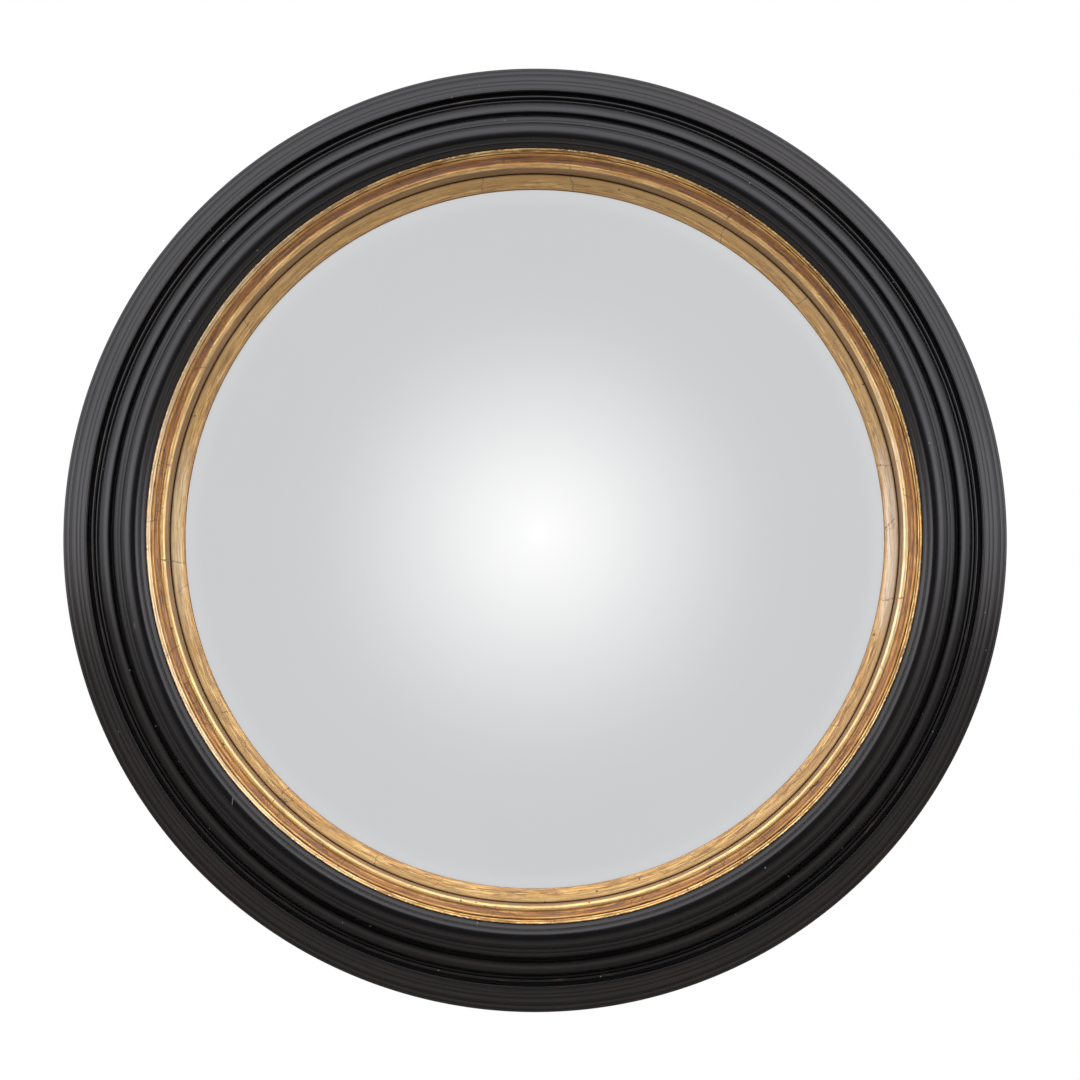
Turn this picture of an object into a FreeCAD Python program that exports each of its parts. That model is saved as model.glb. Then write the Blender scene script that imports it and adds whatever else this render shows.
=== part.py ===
import FreeCAD, Part
import math
import os
import sys
import Sketcher

# Round convex wall mirror: a black lacquered, reeded turned-wood frame with a gilded
# inner moulding and slip, a domed mirror glass, a screwed backing disc and two
# D-ring hangers.
# Frame of the part: +Z up, +X to the viewer's right, the viewer stands at -Y.
# The wall is the plane Y = 0 and the origin is the centre of the mirror on the wall.
# Every ring is drawn as a section: radius from the centre line, and depth off the
# wall (so a point at depth d lies at Y = -d).

V = FreeCAD.Vector
doc = FreeCAD.newDocument("convex_mirror")

# ---------------------------------------------------------------- dimensions (mm)
sheet = doc.addObject("Spreadsheet::Sheet", "dims")
cell_row = 0


def cell(alias, value, note=""):
    global cell_row
    cell_row += 1
    sheet.set("A%d" % cell_row, alias.replace("_", " "))
    sheet.set("B%d" % cell_row, ("%.3f" % value).rstrip("0").rstrip("."))
    sheet.setAlias("B%d" % cell_row, alias)
    if note:
        sheet.set("C%d" % cell_row, note)


# Each section is a closed list of corners (radius, depth, arc). "arc" is the radius of
# the curve that runs from this corner to the next; 0 is a straight side, a positive
# value bulges to the left of the direction of travel and a negative one to the right.
front_section = [
    (298.0, 28.0, 0), (298.0, 38.0, 0), (293.0, 38.0, 0), (293.0, 46.0, 0),
    (300.1, 46.0, 0),
    (300.1, 63.4, 6.5), (303.6, 66.8, 0), (304.1, 66.9, 4.9),      # small inner bead
    (308.3, 70.7, 13.0), (316.0, 69.3, 16.0),                       # crest
    (318.9, 65.0, 0), (319.7, 63.2, 0), (320.1, 63.5, 4.6),         # incised line
    (323.0, 59.9, 0), (323.3, 59.1, 5.8), (326.9, 54.2, 0),         # two fine reeds
    (329.1, 46.8, 0), (330.4, 44.9, 0), (331.6, 45.6, 0),           # quirk
    (332.4, 46.8, 8.0), (338.0, 44.5, 23.0), (344.6, 31.8, 0),      # ovolo
    (344.8, 31.3, 0), (346.2, 31.0, 0),                             # crease
    (346.5, 32.2, 1.45), (349.2, 32.2, 0),                          # bead
    (349.3, 28.0, 0),
]
back_section = [
    (316.0, 7.0, 0), (316.0, 12.0, 0), (298.0, 12.0, 0), (298.0, 28.0, 0),
    (351.9, 28.0, 0), (352.0, 32.6, 1.25), (354.4, 32.5, 0),        # bead by the groove
    (354.9, 31.3, 0), (355.5, 31.0, 5.0),                           # quirk
    (359.1, 28.9, 0), (359.3, 28.6, 4.8), (362.6, 26.3, 0),         # outer reeds
    (362.9, 25.9, 9.0), (369.3, 19.9, 0), (369.7, 19.6, 5.5),
    (373.2, 16.7, 0), (373.6, 16.6, 1.45), (375.0, 15.0, 0),        # edge lip
    (375.0, 8.4, 0), (373.6, 7.0, 0),
]
gilt_section = [
    (286.4, 38.1, 0), (286.4, 57.5, 2.7), (290.8, 58.2, -4.6),      # wall, inner bead
    (294.4, 60.6, 1.6), (296.5, 61.8, 0), (296.8, 61.4, 1.6),       # hollow, two fine reeds
    (298.3, 63.0, 1.35), (300.0, 64.1, 0),                          # outer bead
    (300.0, 46.0, 0), (292.9, 46.0, 0), (292.9, 38.1, 0),
]
slip_section = [
    (275.3, 33.2, 0), (275.3, 34.6, 0.9), (276.2, 35.5, 26.0),
    (285.5, 37.5, 0), (286.0, 36.9, 0), (287.4, 36.9, 0), (288.0, 37.95, 0),
    (297.8, 37.95, 0), (297.8, 33.2, 0),
]
# the glass is a dome that eases into a flat rim, where it is held
glass_section = [
    (0.0, 66.8, 1000.0), (254.136, 33.97, -60.0), (269.384, 32.0, 0), (291.0, 32.0, 0),
    (291.0, 28.0, 0), (269.384, 28.0, 64.0), (253.119, 30.099, -996.0), (0.0, 62.8, 0),
]
gasket_section = [(277.0, 32.03, 0), (277.0, 33.17, 0), (289.5, 33.17, 0), (289.5, 32.03, 0)]
cushion_section = [(275.0, 26.0, 0), (275.0, 27.97, 0), (290.0, 27.97, 0), (290.0, 26.0, 0)]
spacer_section = [(268.0, 12.05, 0), (268.0, 25.97, 0), (297.6, 25.97, 0), (297.6, 12.05, 0)]

sections = {
    "front": front_section, "back": back_section, "gilt": gilt_section,
    "slip": slip_section, "gasket": gasket_section, "cushion": cushion_section,
    "spacer": spacer_section, "glass": glass_section,
}
for key, pts in sections.items():
    for i, (rad, dep, arc) in enumerate(pts, 1):
        cell("%s_rad_%02d" % (key, i), rad)
        cell("%s_dep_%02d" % (key, i), dep)
        if arc:
            cell("%s_arc_%02d" % (key, i), abs(arc))

cell("segment_angle", 45, "eight glued segments a layer")
cell("board_radius", 315.7)
cell("board_back", 7.0, "rear face of frame and board off the wall")
cell("board_thickness", 5.0)
cell("board_screw_circle", 307.0, "radius of the screw circle")
cell("board_screw_count", 16)
cell("screw_hole_radius", 1.80)
cell("screw_shank_radius", 1.76)
cell("board_screw_length", 16.0)
cell("screw_head_radius", 3.5)
cell("screw_head_height", 2.2)
cell("screw_slot_width", 0.9)
cell("screw_slot_depth", 1.1)
cell("hanger_across", 296.0, "D-ring pivot from the centre line")
cell("hanger_up", 178.0, "D-ring pivot above the centre")
cell("hanger_pivot_off", 3.2, "pivot behind the frame's rear face")
cell("strap_width", 15.0)
cell("strap_thick", 1.2)
cell("strap_length", 46.0)
cell("knuckle_outer", 2.78)
cell("knuckle_bore", 1.58)
cell("strap_screw_one", 26.0)
cell("strap_screw_two", 38.5)
cell("hanger_screw_length", 16.0)
cell("hanger_head_height", 2.3)
cell("ring_wire", 1.5, "wire radius")
cell("ring_half_width", 10.0)
cell("ring_corner", 3.0)
cell("ring_leg", 9.0, "centre of the round end below the pivot")
cell("bumper_radius", 9.0)
cell("bumper_height", 7.0)
cell("bumper_circle", 345.0)
doc.recompute()


def val(alias):
    return float(sheet.get(alias))


# ---------------------------------------------------------------- helpers
def origin_item(body, role):
    for item in body.Origin.OriginFeatures:
        if item.Role == role:
            return item
    raise RuntimeError("no origin item " + role)


def new_body(name):
    body = doc.addObject("PartDesign::Body", name)
    body.Label = name
    return body


def new_sketch(body, name, plane, offset=None):
    sk = body.newObject("Sketcher::SketchObject", name)
    sk.AttachmentSupport = [(origin_item(body, plane), "")]
    sk.MapMode = "FlatFace"
    if offset is not None:
        sk.AttachmentOffset = FreeCAD.Placement(V(0, 0, offset), FreeCAD.Rotation())
    return sk


def pin_point(sk, geo, pos, x_expr, x_val, y_expr, y_val):
    i = sk.addConstraint(Sketcher.Constraint("DistanceX", -1, 1, geo, pos, x_val))
    sk.setExpression("Constraints[%d]" % i, x_expr)
    i = sk.addConstraint(Sketcher.Constraint("DistanceY", -1, 1, geo, pos, y_val))
    sk.setExpression("Constraints[%d]" % i, y_expr)


def section_sketch(body, key):
    """Closed section of lines and arcs whose corners and arc radii are sheet cells."""
    pts = sections[key]
    sk = new_sketch(body, key + "_section", "XY_Plane")
    count = len(pts)
    ends = []
    for i, (rad, dep, arc) in enumerate(pts):
        p = V(rad, dep, 0)
        q = V(pts[(i + 1) % count][0], pts[(i + 1) % count][1], 0)
        if not arc:
            geo = sk.addGeometry(Part.LineSegment(p, q), False)
            ends.append((geo, 1, 2))
            continue
        chord = q - p
        half = chord.Length / 2
        radius = abs(arc)
        rise = math.sqrt(max(radius * radius - half * half, 0.0))
        left = V(-chord.y, chord.x, 0).normalize()
        mid = (p + q) * 0.5
        # bulge to the left of travel: the centre lies to the right
        centre = mid - left * rise if arc > 0 else mid + left * rise
        a = math.atan2(p.y - centre.y, p.x - centre.x)
        b = math.atan2(q.y - centre.y, q.x - centre.x)
        circle = Part.Circle(centre, V(0, 0, 1), radius)
        if arc > 0:      # clockwise from p to q, stored counter-clockwise from q to p
            geo = sk.addGeometry(Part.ArcOfCircle(circle, b, a if a > b else a + 2 * math.pi), False)
            ends.append((geo, 2, 1))
        else:
            geo = sk.addGeometry(Part.ArcOfCircle(circle, a, b if b > a else b + 2 * math.pi), False)
            ends.append((geo, 1, 2))
        j = sk.addConstraint(Sketcher.Constraint("Radius", geo, radius))
        sk.setExpression("Constraints[%d]" % j, "dims.%s_arc_%02d" % (key, i + 1))
    for i in range(count):
        g0, _, e0 = ends[i]
        g1, s1, _ = ends[(i + 1) % count]
        sk.addConstraint(Sketcher.Constraint("Coincident", g0, e0, g1, s1))
    free_depth = set()
    for i, (rad, dep, arc) in enumerate(pts):
        j = (i + 1) % count
        if arc and 0.0 in (rad, pts[j][0]):
            # a dome: its centre lies on the axis, and that settles how deep its far end is
            sk.addConstraint(Sketcher.Constraint("PointOnObject", ends[i][0], 3, -2))
            free_depth.add(j if rad == 0.0 else i)
    for i, (rad, dep, arc) in enumerate(pts):
        geo, start, _ = ends[i]
        if i in free_depth:
            k = sk.addConstraint(Sketcher.Constraint("DistanceX", -1, 1, geo, start, rad))
            sk.setExpression("Constraints[%d]" % k, "dims.%s_rad_%02d" % (key, i + 1))
            continue
        if rad == 0.0:
            sk.addConstraint(Sketcher.Constraint("PointOnObject", geo, start, -2))
            k = sk.addConstraint(Sketcher.Constraint("DistanceY", -1, 1, geo, start, dep))
            sk.setExpression("Constraints[%d]" % k, "dims.%s_dep_%02d" % (key, i + 1))
            continue
        pin_point(sk, geo, start, "dims.%s_rad_%02d" % (key, i + 1), rad,
                  "dims.%s_dep_%02d" % (key, i + 1), dep)
    return sk


def revolve(body, sk, full):
    rev = body.newObject("PartDesign::Revolution", sk.Name + "_turned")
    rev.Profile = sk
    rev.ReferenceAxis = (sk, ["V_Axis"])
    if full:
        rev.Angle = 360.0
    else:
        rev.Midplane = True
        rev.setExpression("Angle", "dims.segment_angle")
    body.Tip = rev
    return rev


def turned_place(phi_deg):
    """Local section frame (x = radius, y = depth off the wall) to the part's frame, with
    the middle of the piece at angle phi, counted from +X towards +Z."""
    return FreeCAD.Placement(
        V(0, 0, 0),
        FreeCAD.Rotation(V(0, 1, 0), 180.0 - phi_deg) * FreeCAD.Rotation(V(0, 0, 1), 180.0))


def circles(sk, spots, radius_expr, radius):
    """spots: (x expression, x, y expression, y)"""
    for xe, x, ye, y in spots:
        geo = sk.addGeometry(Part.Circle(V(x, y, 0), V(0, 0, 1), radius), False)
        i = sk.addConstraint(Sketcher.Constraint("Radius", geo, radius))
        sk.setExpression("Constraints[%d]" % i, radius_expr)
        pin_point(sk, geo, 3, xe, x, ye, y)


def pocket_from_wall(body, name, spots, radius_expr, radius, depth_expr):
    """Round holes cut forward from the wall plane, through the rear face."""
    before = body.Tip.Shape.Volume
    sk = new_sketch(body, name + "_spots", "XZ_Plane")
    circles(sk, spots, radius_expr, radius)
    cut = body.newObject("PartDesign::Pocket", name)
    cut.Profile = sk
    cut.Type = 0
    cut.setExpression("Length", depth_expr)
    body.Tip = cut
    doc.recompute()
    removed = before - cut.Shape.Volume
    if removed < 1.0:
        cut.Reversed = True
        doc.recompute()
        removed = before - cut.Shape.Volume
    if removed < 1.0:
        raise RuntimeError("%s in %s removed nothing" % (name, body.Label))
    return cut


nodes = []

# ---------------------------------------------------------------- black frame, front layer
for k in range(8):
    body = new_body("frame_front_segment_%d" % (k + 1))
    revolve(body, section_sketch(body, "front"), False)
    body.Placement = turned_place(22.5 + 45.0 * k)
    nodes.append(body)

# ---------------------------------------------------------------- black frame, rear layer
root_half = math.sqrt(0.5)
for k in range(8):
    phi = 45.0 * k
    body = new_body("frame_back_segment_%d" % (k + 1))
    revolve(body, section_sketch(body, "back"), False)
    doc.recompute()
    rc, beta = val("board_screw_circle"), math.radians(11.25)
    pocket_from_wall(
        body, "board_screw_holes",
        [("dims.board_screw_circle * cos(11.25 deg)", rc * math.cos(beta),
          "dims.board_screw_circle * sin(11.25 deg)", rc * math.sin(beta)),
         ("dims.board_screw_circle * cos(11.25 deg)", rc * math.cos(beta),
          "-dims.board_screw_circle * sin(11.25 deg)", -rc * math.sin(beta))],
        "dims.screw_hole_radius", val("screw_hole_radius"),
        "dims.board_back + dims.board_screw_length + 0.5")
    if k in (1, 3):     # the two upper segments carry the hanger straps
        side = 1.0 if k == 1 else -1.0
        spots = []
        for name in ("strap_screw_one", "strap_screw_two"):
            x, z = val("hanger_across"), val("hanger_up") - val(name)
            spots.append((
                "(dims.hanger_across + dims.hanger_up - dims.%s) * sqrt(0.5)" % name,
                (x + z) * root_half,
                "%s(dims.hanger_across - dims.hanger_up + dims.%s) * sqrt(0.5)"
                % ("" if side > 0 else "-", name),
                side * (x - z) * root_half))
        pocket_from_wall(body, "strap_screw_holes", spots, "dims.screw_hole_radius",
                         val("screw_hole_radius"),
                         "dims.board_back + dims.hanger_screw_length")
    body.Placement = turned_place(phi)
    nodes.append(body)

# ---------------------------------------------------------------- turned rings
for name, key in (("gilt_moulding", "gilt"), ("gilt_slip", "slip"),
                  ("glass_felt_strip", "gasket"), ("glass_foam_strip", "cushion"),
                  ("glass_spacer_ring", "spacer"), ("mirror_glass", "glass")):
    body = new_body(name)
    revolve(body, section_sketch(body, key), True)
    body.Placement = turned_place(0.0)
    nodes.append(body)

# ---------------------------------------------------------------- backing disc
board = new_body("backing_board")
sk = new_sketch(board, "board_outline", "XZ_Plane")
circles(sk, [("0 * dims.board_radius", 0, "0 * dims.board_radius", 0)],
        "dims.board_radius", val("board_radius"))
sk.setExpression("AttachmentOffset.Base.z", "-dims.board_back")
pad = board.newObject("PartDesign::Pad", "board_disc")
pad.Profile = sk
pad.Reversed = True
pad.setExpression("Length", "dims.board_thickness")
board.Tip = pad
sk = new_sketch(board, "board_hole_spot", "XZ_Plane")
beta = math.radians(11.25)
circles(sk, [("dims.board_screw_circle * cos(11.25 deg)", val("board_screw_circle") * math.cos(beta),
              "dims.board_screw_circle * sin(11.25 deg)", val("board_screw_circle") * math.sin(beta))],
        "dims.screw_hole_radius", val("screw_hole_radius"))
cut = board.newObject("PartDesign::Pocket", "board_hole")
cut.Profile = sk
cut.Type = 1
cut.Midplane = True
board.Tip = cut
doc.recompute()
if pad.Shape.Volume - cut.Shape.Volume < 10:
    raise RuntimeError("board hole removed nothing")
ring = board.newObject("PartDesign::PolarPattern", "board_holes")
ring.Originals = [cut]
ring.Axis = (origin_item(board, "Y_Axis"), [""])
ring.Angle = 360.0
ring.setExpression("Occurrences", "dims.board_screw_count")
board.Tip = ring
board.Placement = turned_place(0.0)
nodes.append(board)


# ---------------------------------------------------------------- screws, as groups of loose solids
def screw_group(name, spots, seat_expr, seat, length_expr, head_expr, place, pattern):
    """Slotted round-head screws: shank forward from the seat, head behind it. The seat is
    given as a depth off the wall."""
    body = new_body(name)
    sk = new_sketch(body, "shank_spots", "XZ_Plane")
    circles(sk, spots, "dims.screw_shank_radius", val("screw_shank_radius"))
    sk.setExpression("AttachmentOffset.Base.z", "-(%s)" % seat_expr)
    shank = body.newObject("PartDesign::Pad", "shanks")
    shank.Profile = sk
    shank.Reversed = True
    shank.setExpression("Length", length_expr)
    body.Tip = shank
    sk = new_sketch(body, "head_spots", "XZ_Plane")
    circles(sk, spots, "dims.screw_head_radius", val("screw_head_radius"))
    sk.setExpression("AttachmentOffset.Base.z", "-(%s)" % seat_expr)
    head = body.newObject("PartDesign::Pad", "heads")
    head.Profile = sk
    head.setExpression("Length", head_expr)
    body.Tip = head
    doc.recompute()
    # screwdriver slot
    sk = new_sketch(body, "slot_spots", "XZ_Plane")
    sk.setExpression("AttachmentOffset.Base.z", "-(%s) + %s" % (seat_expr, head_expr))
    half, arm = val("screw_slot_width") / 2, val("screw_head_radius") + 1.0
    for xe, x, ye, y in spots:
        first = sk.GeometryCount
        corners = [V(x - half, y - arm, 0), V(x + half, y - arm, 0), V(x + half, y + arm, 0), V(x - half, y + arm, 0)]
        for i in range(4):
            sk.addGeometry(Part.LineSegment(corners[i], corners[(i + 1) % 4]), False)
        for i in range(4):
            sk.addConstraint(Sketcher.Constraint("Coincident", first + i, 2, first + (i + 1) % 4, 1))
        pin_point(sk, first, 1, "%s - dims.screw_slot_width / 2" % xe, corners[0].x,
                  "%s - dims.screw_head_radius - 1" % ye, corners[0].y)
        pin_point(sk, first + 1, 2, "%s + dims.screw_slot_width / 2" % xe, corners[2].x,
                  "%s + dims.screw_head_radius + 1" % ye, corners[2].y)
        for i in (0, 2):
            sk.addConstraint(Sketcher.Constraint("Horizontal", first + i))
        for i in (1, 3):
            sk.addConstraint(Sketcher.Constraint("Vertical", first + i))
    slot = body.newObject("PartDesign::Pocket", "slots")
    slot.Profile = sk
    slot.Type = 0
    slot.setExpression("Length", "dims.screw_slot_depth")
    body.Tip = slot
    doc.recompute()
    if not 0.5 < head.Shape.Volume - slot.Shape.Volume < 400:
        raise RuntimeError("screw slots of %s removed nothing" % name)
    if pattern:
        ring = body.newObject("PartDesign::PolarPattern", "ring_of_screws")
        ring.Originals = [shank, head, slot]
        ring.Axis = (origin_item(body, "Y_Axis"), [""])
        ring.Angle = 360.0
        ring.setExpression("Occurrences", "dims.board_screw_count")
        body.Tip = ring
    body.Placement = place
    nodes.append(body)
    return body


screw_group("backing_screws",
            [("dims.board_screw_circle * cos(11.25 deg)", val("board_screw_circle") * math.cos(beta),
              "dims.board_screw_circle * sin(11.25 deg)", val("board_screw_circle") * math.sin(beta))],
            "dims.board_back", val("board_back"), "dims.board_screw_length",
            "dims.screw_head_height", turned_place(0.0), True)

# ---------------------------------------------------------------- hangers
# Local frame of a hanger: the pivot is the origin, +Y towards the wall, +Z up.
# Screws are drawn in a frame whose depth runs the other way, so they are turned half
# round about Z, as the rings are.
for side, sign in (("right", 1.0), ("left", -1.0)):
    pivot = V(sign * val("hanger_across"), -val("board_back") + val("hanger_pivot_off"), val("hanger_up"))

    strap = new_body("hanger_strap_" + side)
    sk = new_sketch(strap, "strap_outline", "XZ_Plane")
    w, low = val("strap_width") / 2, val("strap_length")
    geo = sk.addGeometry([
        Part.LineSegment(V(-w, 0, 0), V(w, 0, 0)),
        Part.LineSegment(V(w, 0, 0), V(w, -low + w, 0)),
        Part.ArcOfCircle(Part.Circle(V(0, -low + w, 0), V(0, 0, 1), w), math.pi, 2 * math.pi),
        Part.LineSegment(V(-w, -low + w, 0), V(-w, 0, 0))], False)
    sk.addConstraint(Sketcher.Constraint("Coincident", 0, 2, 1, 1))
    sk.addConstraint(Sketcher.Constraint("Coincident", 1, 2, 2, 2))
    sk.addConstraint(Sketcher.Constraint("Coincident", 2, 1, 3, 1))
    sk.addConstraint(Sketcher.Constraint("Coincident", 3, 2, 0, 1))
    pin_point(sk, 0, 1, "-dims.strap_width / 2", -w, "0 * dims.strap_width", 0)
    pin_point(sk, 0, 2, "dims.strap_width / 2", w, "0 * dims.strap_width", 0)
    pin_point(sk, 1, 2, "dims.strap_width / 2", w, "-dims.strap_length + dims.strap_width / 2", -low + w)
    pin_point(sk, 3, 1, "-dims.strap_width / 2", -w, "-dims.strap_length + dims.strap_width / 2", -low + w)
    i = sk.addConstraint(Sketcher.Constraint("DistanceY", -1, 1, 2, 3, -low + w))
    sk.setExpression("Constraints[%d]" % i, "-dims.strap_length + dims.strap_width / 2")
    # XZ plane faces -Y: the strap starts at the frame's rear face and thickens to the wall
    sk.setExpression("AttachmentOffset.Base.z", "dims.hanger_pivot_off")
    plate = strap.newObject("PartDesign::Pad", "strap_plate")
    plate.Profile = sk
    plate.Reversed = True
    plate.setExpression("Length", "dims.strap_thick")
    strap.Tip = plate
    sk = new_sketch(strap, "knuckle_outline", "YZ_Plane")
    circles(sk, [("0 * dims.knuckle_outer", 0, "0 * dims.knuckle_outer", 0)],
            "dims.knuckle_outer", val("knuckle_outer"))
    knuckle = strap.newObject("PartDesign::Pad", "knuckle")
    knuckle.Profile = sk
    knuckle.Midplane = True
    knuckle.setExpression("Length", "dims.strap_width")
    strap.Tip = knuckle
    sk = new_sketch(strap, "knuckle_bore_outline", "YZ_Plane")
    circles(sk, [("0 * dims.knuckle_outer", 0, "0 * dims.knuckle_outer", 0)],
            "dims.knuckle_bore", val("knuckle_bore"))
    bore = strap.newObject("PartDesign::Pocket", "knuckle_bore_cut")
    bore.Profile = sk
    bore.Type = 1
    bore.Midplane = True
    strap.Tip = bore
    doc.recompute()
    if knuckle.Shape.Volume - bore.Shape.Volume < 50:
        raise RuntimeError("knuckle bore removed nothing")
    sk = new_sketch(strap, "strap_hole_spots", "XZ_Plane")
    circles(sk, [("0 * dims.strap_width", 0, "-dims.strap_screw_one", -val("strap_screw_one")),
                 ("0 * dims.strap_width", 0, "-dims.strap_screw_two", -val("strap_screw_two"))],
            "dims.screw_hole_radius", val("screw_hole_radius"))
    holes = strap.newObject("PartDesign::Pocket", "strap_holes")
    holes.Profile = sk
    holes.Type = 1
    holes.Midplane = True
    strap.Tip = holes
    doc.recompute()
    if bore.Shape.Volume - holes.Shape.Volume < 10:
        raise RuntimeError("strap holes removed nothing")
    strap.Placement = FreeCAD.Placement(pivot, FreeCAD.Rotation())
    nodes.append(strap)

    # D-ring: a closed loop of round wire whose straight bar lies in the knuckle
    ring = new_body("d_ring_" + side)
    spine = new_sketch(ring, "ring_path", "XZ_Plane")
    hw, rc, leg = val("ring_half_width"), val("ring_corner"), val("ring_leg")
    spine.addGeometry([
        Part.LineSegment(V(-hw + rc, 0, 0), V(hw - rc, 0, 0)),
        Part.ArcOfCircle(Part.Circle(V(hw - rc, -rc, 0), V(0, 0, 1), rc), 0, math.pi / 2),
        Part.LineSegment(V(hw, -rc, 0), V(hw, -leg, 0)),
        Part.ArcOfCircle(Part.Circle(V(0, -leg, 0), V(0, 0, 1), hw), math.pi, 2 * math.pi),
        Part.LineSegment(V(-hw, -leg, 0), V(-hw, -rc, 0)),
        Part.ArcOfCircle(Part.Circle(V(-hw + rc, -rc, 0), V(0, 0, 1), rc), math.pi / 2, math.pi)], False)
    for a, pa, b, pb in ((0, 2, 1, 2), (1, 1, 2, 1), (2, 2, 3, 2), (3, 1, 4, 1), (4, 2, 5, 2), (5, 1, 0, 1)):
        spine.addConstraint(Sketcher.Constraint("Coincident", a, pa, b, pb))
    pin_point(spine, 0, 1, "-dims.ring_half_width + dims.ring_corner", -hw + rc, "0 * dims.ring_leg", 0)
    pin_point(spine, 0, 2, "dims.ring_half_width - dims.ring_corner", hw - rc, "0 * dims.ring_leg", 0)
    pin_point(spine, 2, 1, "dims.ring_half_width", hw, "-dims.ring_corner", -rc)
    pin_point(spine, 2, 2, "dims.ring_half_width", hw, "-dims.ring_leg", -leg)
    pin_point(spine, 4, 1, "-dims.ring_half_width", -hw, "-dims.ring_leg", -leg)
    pin_point(spine, 4, 2, "-dims.ring_half_width", -hw, "-dims.ring_corner", -rc)
    for geo in (1, 5):
        i = spine.addConstraint(Sketcher.Constraint("Radius", geo, rc))
        spine.setExpression("Constraints[%d]" % i, "dims.ring_corner")
    i = spine.addConstraint(Sketcher.Constraint("DistanceY", -1, 1, 3, 3, -leg))
    spine.setExpression("Constraints[%d]" % i, "-dims.ring_leg")
    wire_sk = new_sketch(ring, "ring_wire_outline", "YZ_Plane")
    circles(wire_sk, [("0 * dims.ring_wire", 0, "0 * dims.ring_wire", 0)], "dims.ring_wire", val("ring_wire"))
    wire_sk.setExpression("AttachmentOffset.Base.z", "-dims.ring_half_width + dims.ring_corner")
    doc.recompute()
    pipe = ring.newObject("PartDesign::AdditivePipe", "ring_sweep")
    pipe.Profile = wire_sk
    pipe.Spine = (spine, ["Edge%d" % i for i in range(1, 7)])
    ring.Tip = pipe
    doc.recompute()
    path_length = 2 * (hw - rc) + 2 * (leg - rc) + math.pi * hw + math.pi * rc
    want = math.pi * val("ring_wire") ** 2 * path_length
    if abs(pipe.Shape.Volume - want) > 0.01 * want:
        raise RuntimeError("ring volume %.1f, want %.1f" % (pipe.Shape.Volume, want))
    ring.Placement = FreeCAD.Placement(pivot, FreeCAD.Rotation())
    nodes.append(ring)

    # two round-head screws through the strap; their own frame is turned half round
    up = "dims.hanger_up - dims."
    screw_group("hanger_screws_" + side,
                [("dims.hanger_across" if sign < 0 else "-dims.hanger_across",
                  -sign * val("hanger_across"), up + name, val("hanger_up") - val(name))
                 for name in ("strap_screw_one", "strap_screw_two")],
                "dims.board_back - dims.strap_thick", val("board_back") - val("strap_thick"),
                "dims.hanger_screw_length", "dims.hanger_head_height",
                FreeCAD.Placement(V(0, 0, 0), FreeCAD.Rotation(V(0, 0, 1), 180.0)), False)

# ---------------------------------------------------------------- rubber wall bumpers
for name, phi in (("upper_right", 45.0), ("upper_left", 135.0), ("lower_left", 225.0), ("lower_right", 315.0)):
    body = new_body("wall_bumper_" + name)
    sk = new_sketch(body, "bumper_outline", "XZ_Plane")
    circles(sk, [("dims.bumper_circle", val("bumper_circle"), "0 * dims.bumper_circle", 0)],
            "dims.bumper_radius", val("bumper_radius"))
    pad = body.newObject("PartDesign::Pad", "bumper_pad")
    pad.Profile = sk
    pad.Reversed = True
    pad.setExpression("Length", "dims.bumper_height")
    body.Tip = pad
    body.Placement = turned_place(phi)
    nodes.append(body)

# ---------------------------------------------------------------- checks and output
doc.recompute()
faults = []
for obj in doc.Objects:
    if "Invalid" in obj.State or "Error" in obj.State:
        faults.append("%s: %s" % (obj.Name, obj.State))
for node in nodes:
    shape = node.Shape
    if shape.isNull() or not shape.isValid() or not shape.Solids:
        faults.append("%s: bad shape" % node.Label)
        continue
    for solid in shape.Solids:
        if not solid.isClosed():
            faults.append("%s: open solid" % node.Label)
if faults:
    print("\n".join(faults))
    sys.exit(1)

os.makedirs("parts", exist_ok=True)
total = None
for node in nodes:
    shape = node.Shape.copy()
    box = shape.BoundBox
    print("%-24s solids %2d  volume %9.1f mm3  y %7.2f .. %6.2f" % (
        node.Label, len(shape.Solids), shape.Volume, box.YMin, box.YMax))
    node.Shape.exportStep("parts/%s.step" % node.Label)
print("%d nodes written" % len(nodes))
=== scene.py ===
import bpy
import math
import numpy as np
from mathutils import Matrix, Vector


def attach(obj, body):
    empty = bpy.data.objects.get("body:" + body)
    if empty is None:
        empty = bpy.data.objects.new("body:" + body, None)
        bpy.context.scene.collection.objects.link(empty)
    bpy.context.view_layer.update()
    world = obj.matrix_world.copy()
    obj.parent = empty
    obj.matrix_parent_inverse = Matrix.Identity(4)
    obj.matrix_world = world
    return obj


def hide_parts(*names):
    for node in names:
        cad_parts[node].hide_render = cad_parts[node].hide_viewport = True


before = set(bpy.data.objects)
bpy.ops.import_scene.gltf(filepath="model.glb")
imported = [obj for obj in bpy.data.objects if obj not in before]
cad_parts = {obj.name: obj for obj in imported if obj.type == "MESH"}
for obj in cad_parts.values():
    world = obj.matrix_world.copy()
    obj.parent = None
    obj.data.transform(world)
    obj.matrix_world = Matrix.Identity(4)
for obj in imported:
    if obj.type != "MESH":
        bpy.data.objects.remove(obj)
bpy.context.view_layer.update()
scene = bpy.context.scene
MM = 0.001

# ------------------------------------------------------------------ camera
# Level camera a little below and to the right of the mirror's centre; the picture is
# framed with lens shift, so that the rim stays a true circle as in the photograph.
cam_data = bpy.data.cameras.new("camera")
cam = bpy.data.objects.new("camera", cam_data)
scene.collection.objects.link(cam)
scene.camera = cam
cam.location = (0.030, -1.8155, -0.122)
cam.rotation_euler = (math.radians(90), 0, 0)
cam_data.sensor_width = 36.0
cam_data.lens = 75.5
cam_data.shift_x = -0.0304
cam_data.shift_y = 0.1425
cam_data.clip_start = 0.05
cam_data.clip_end = 50.0
cam_data.dof.use_dof = False

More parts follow.
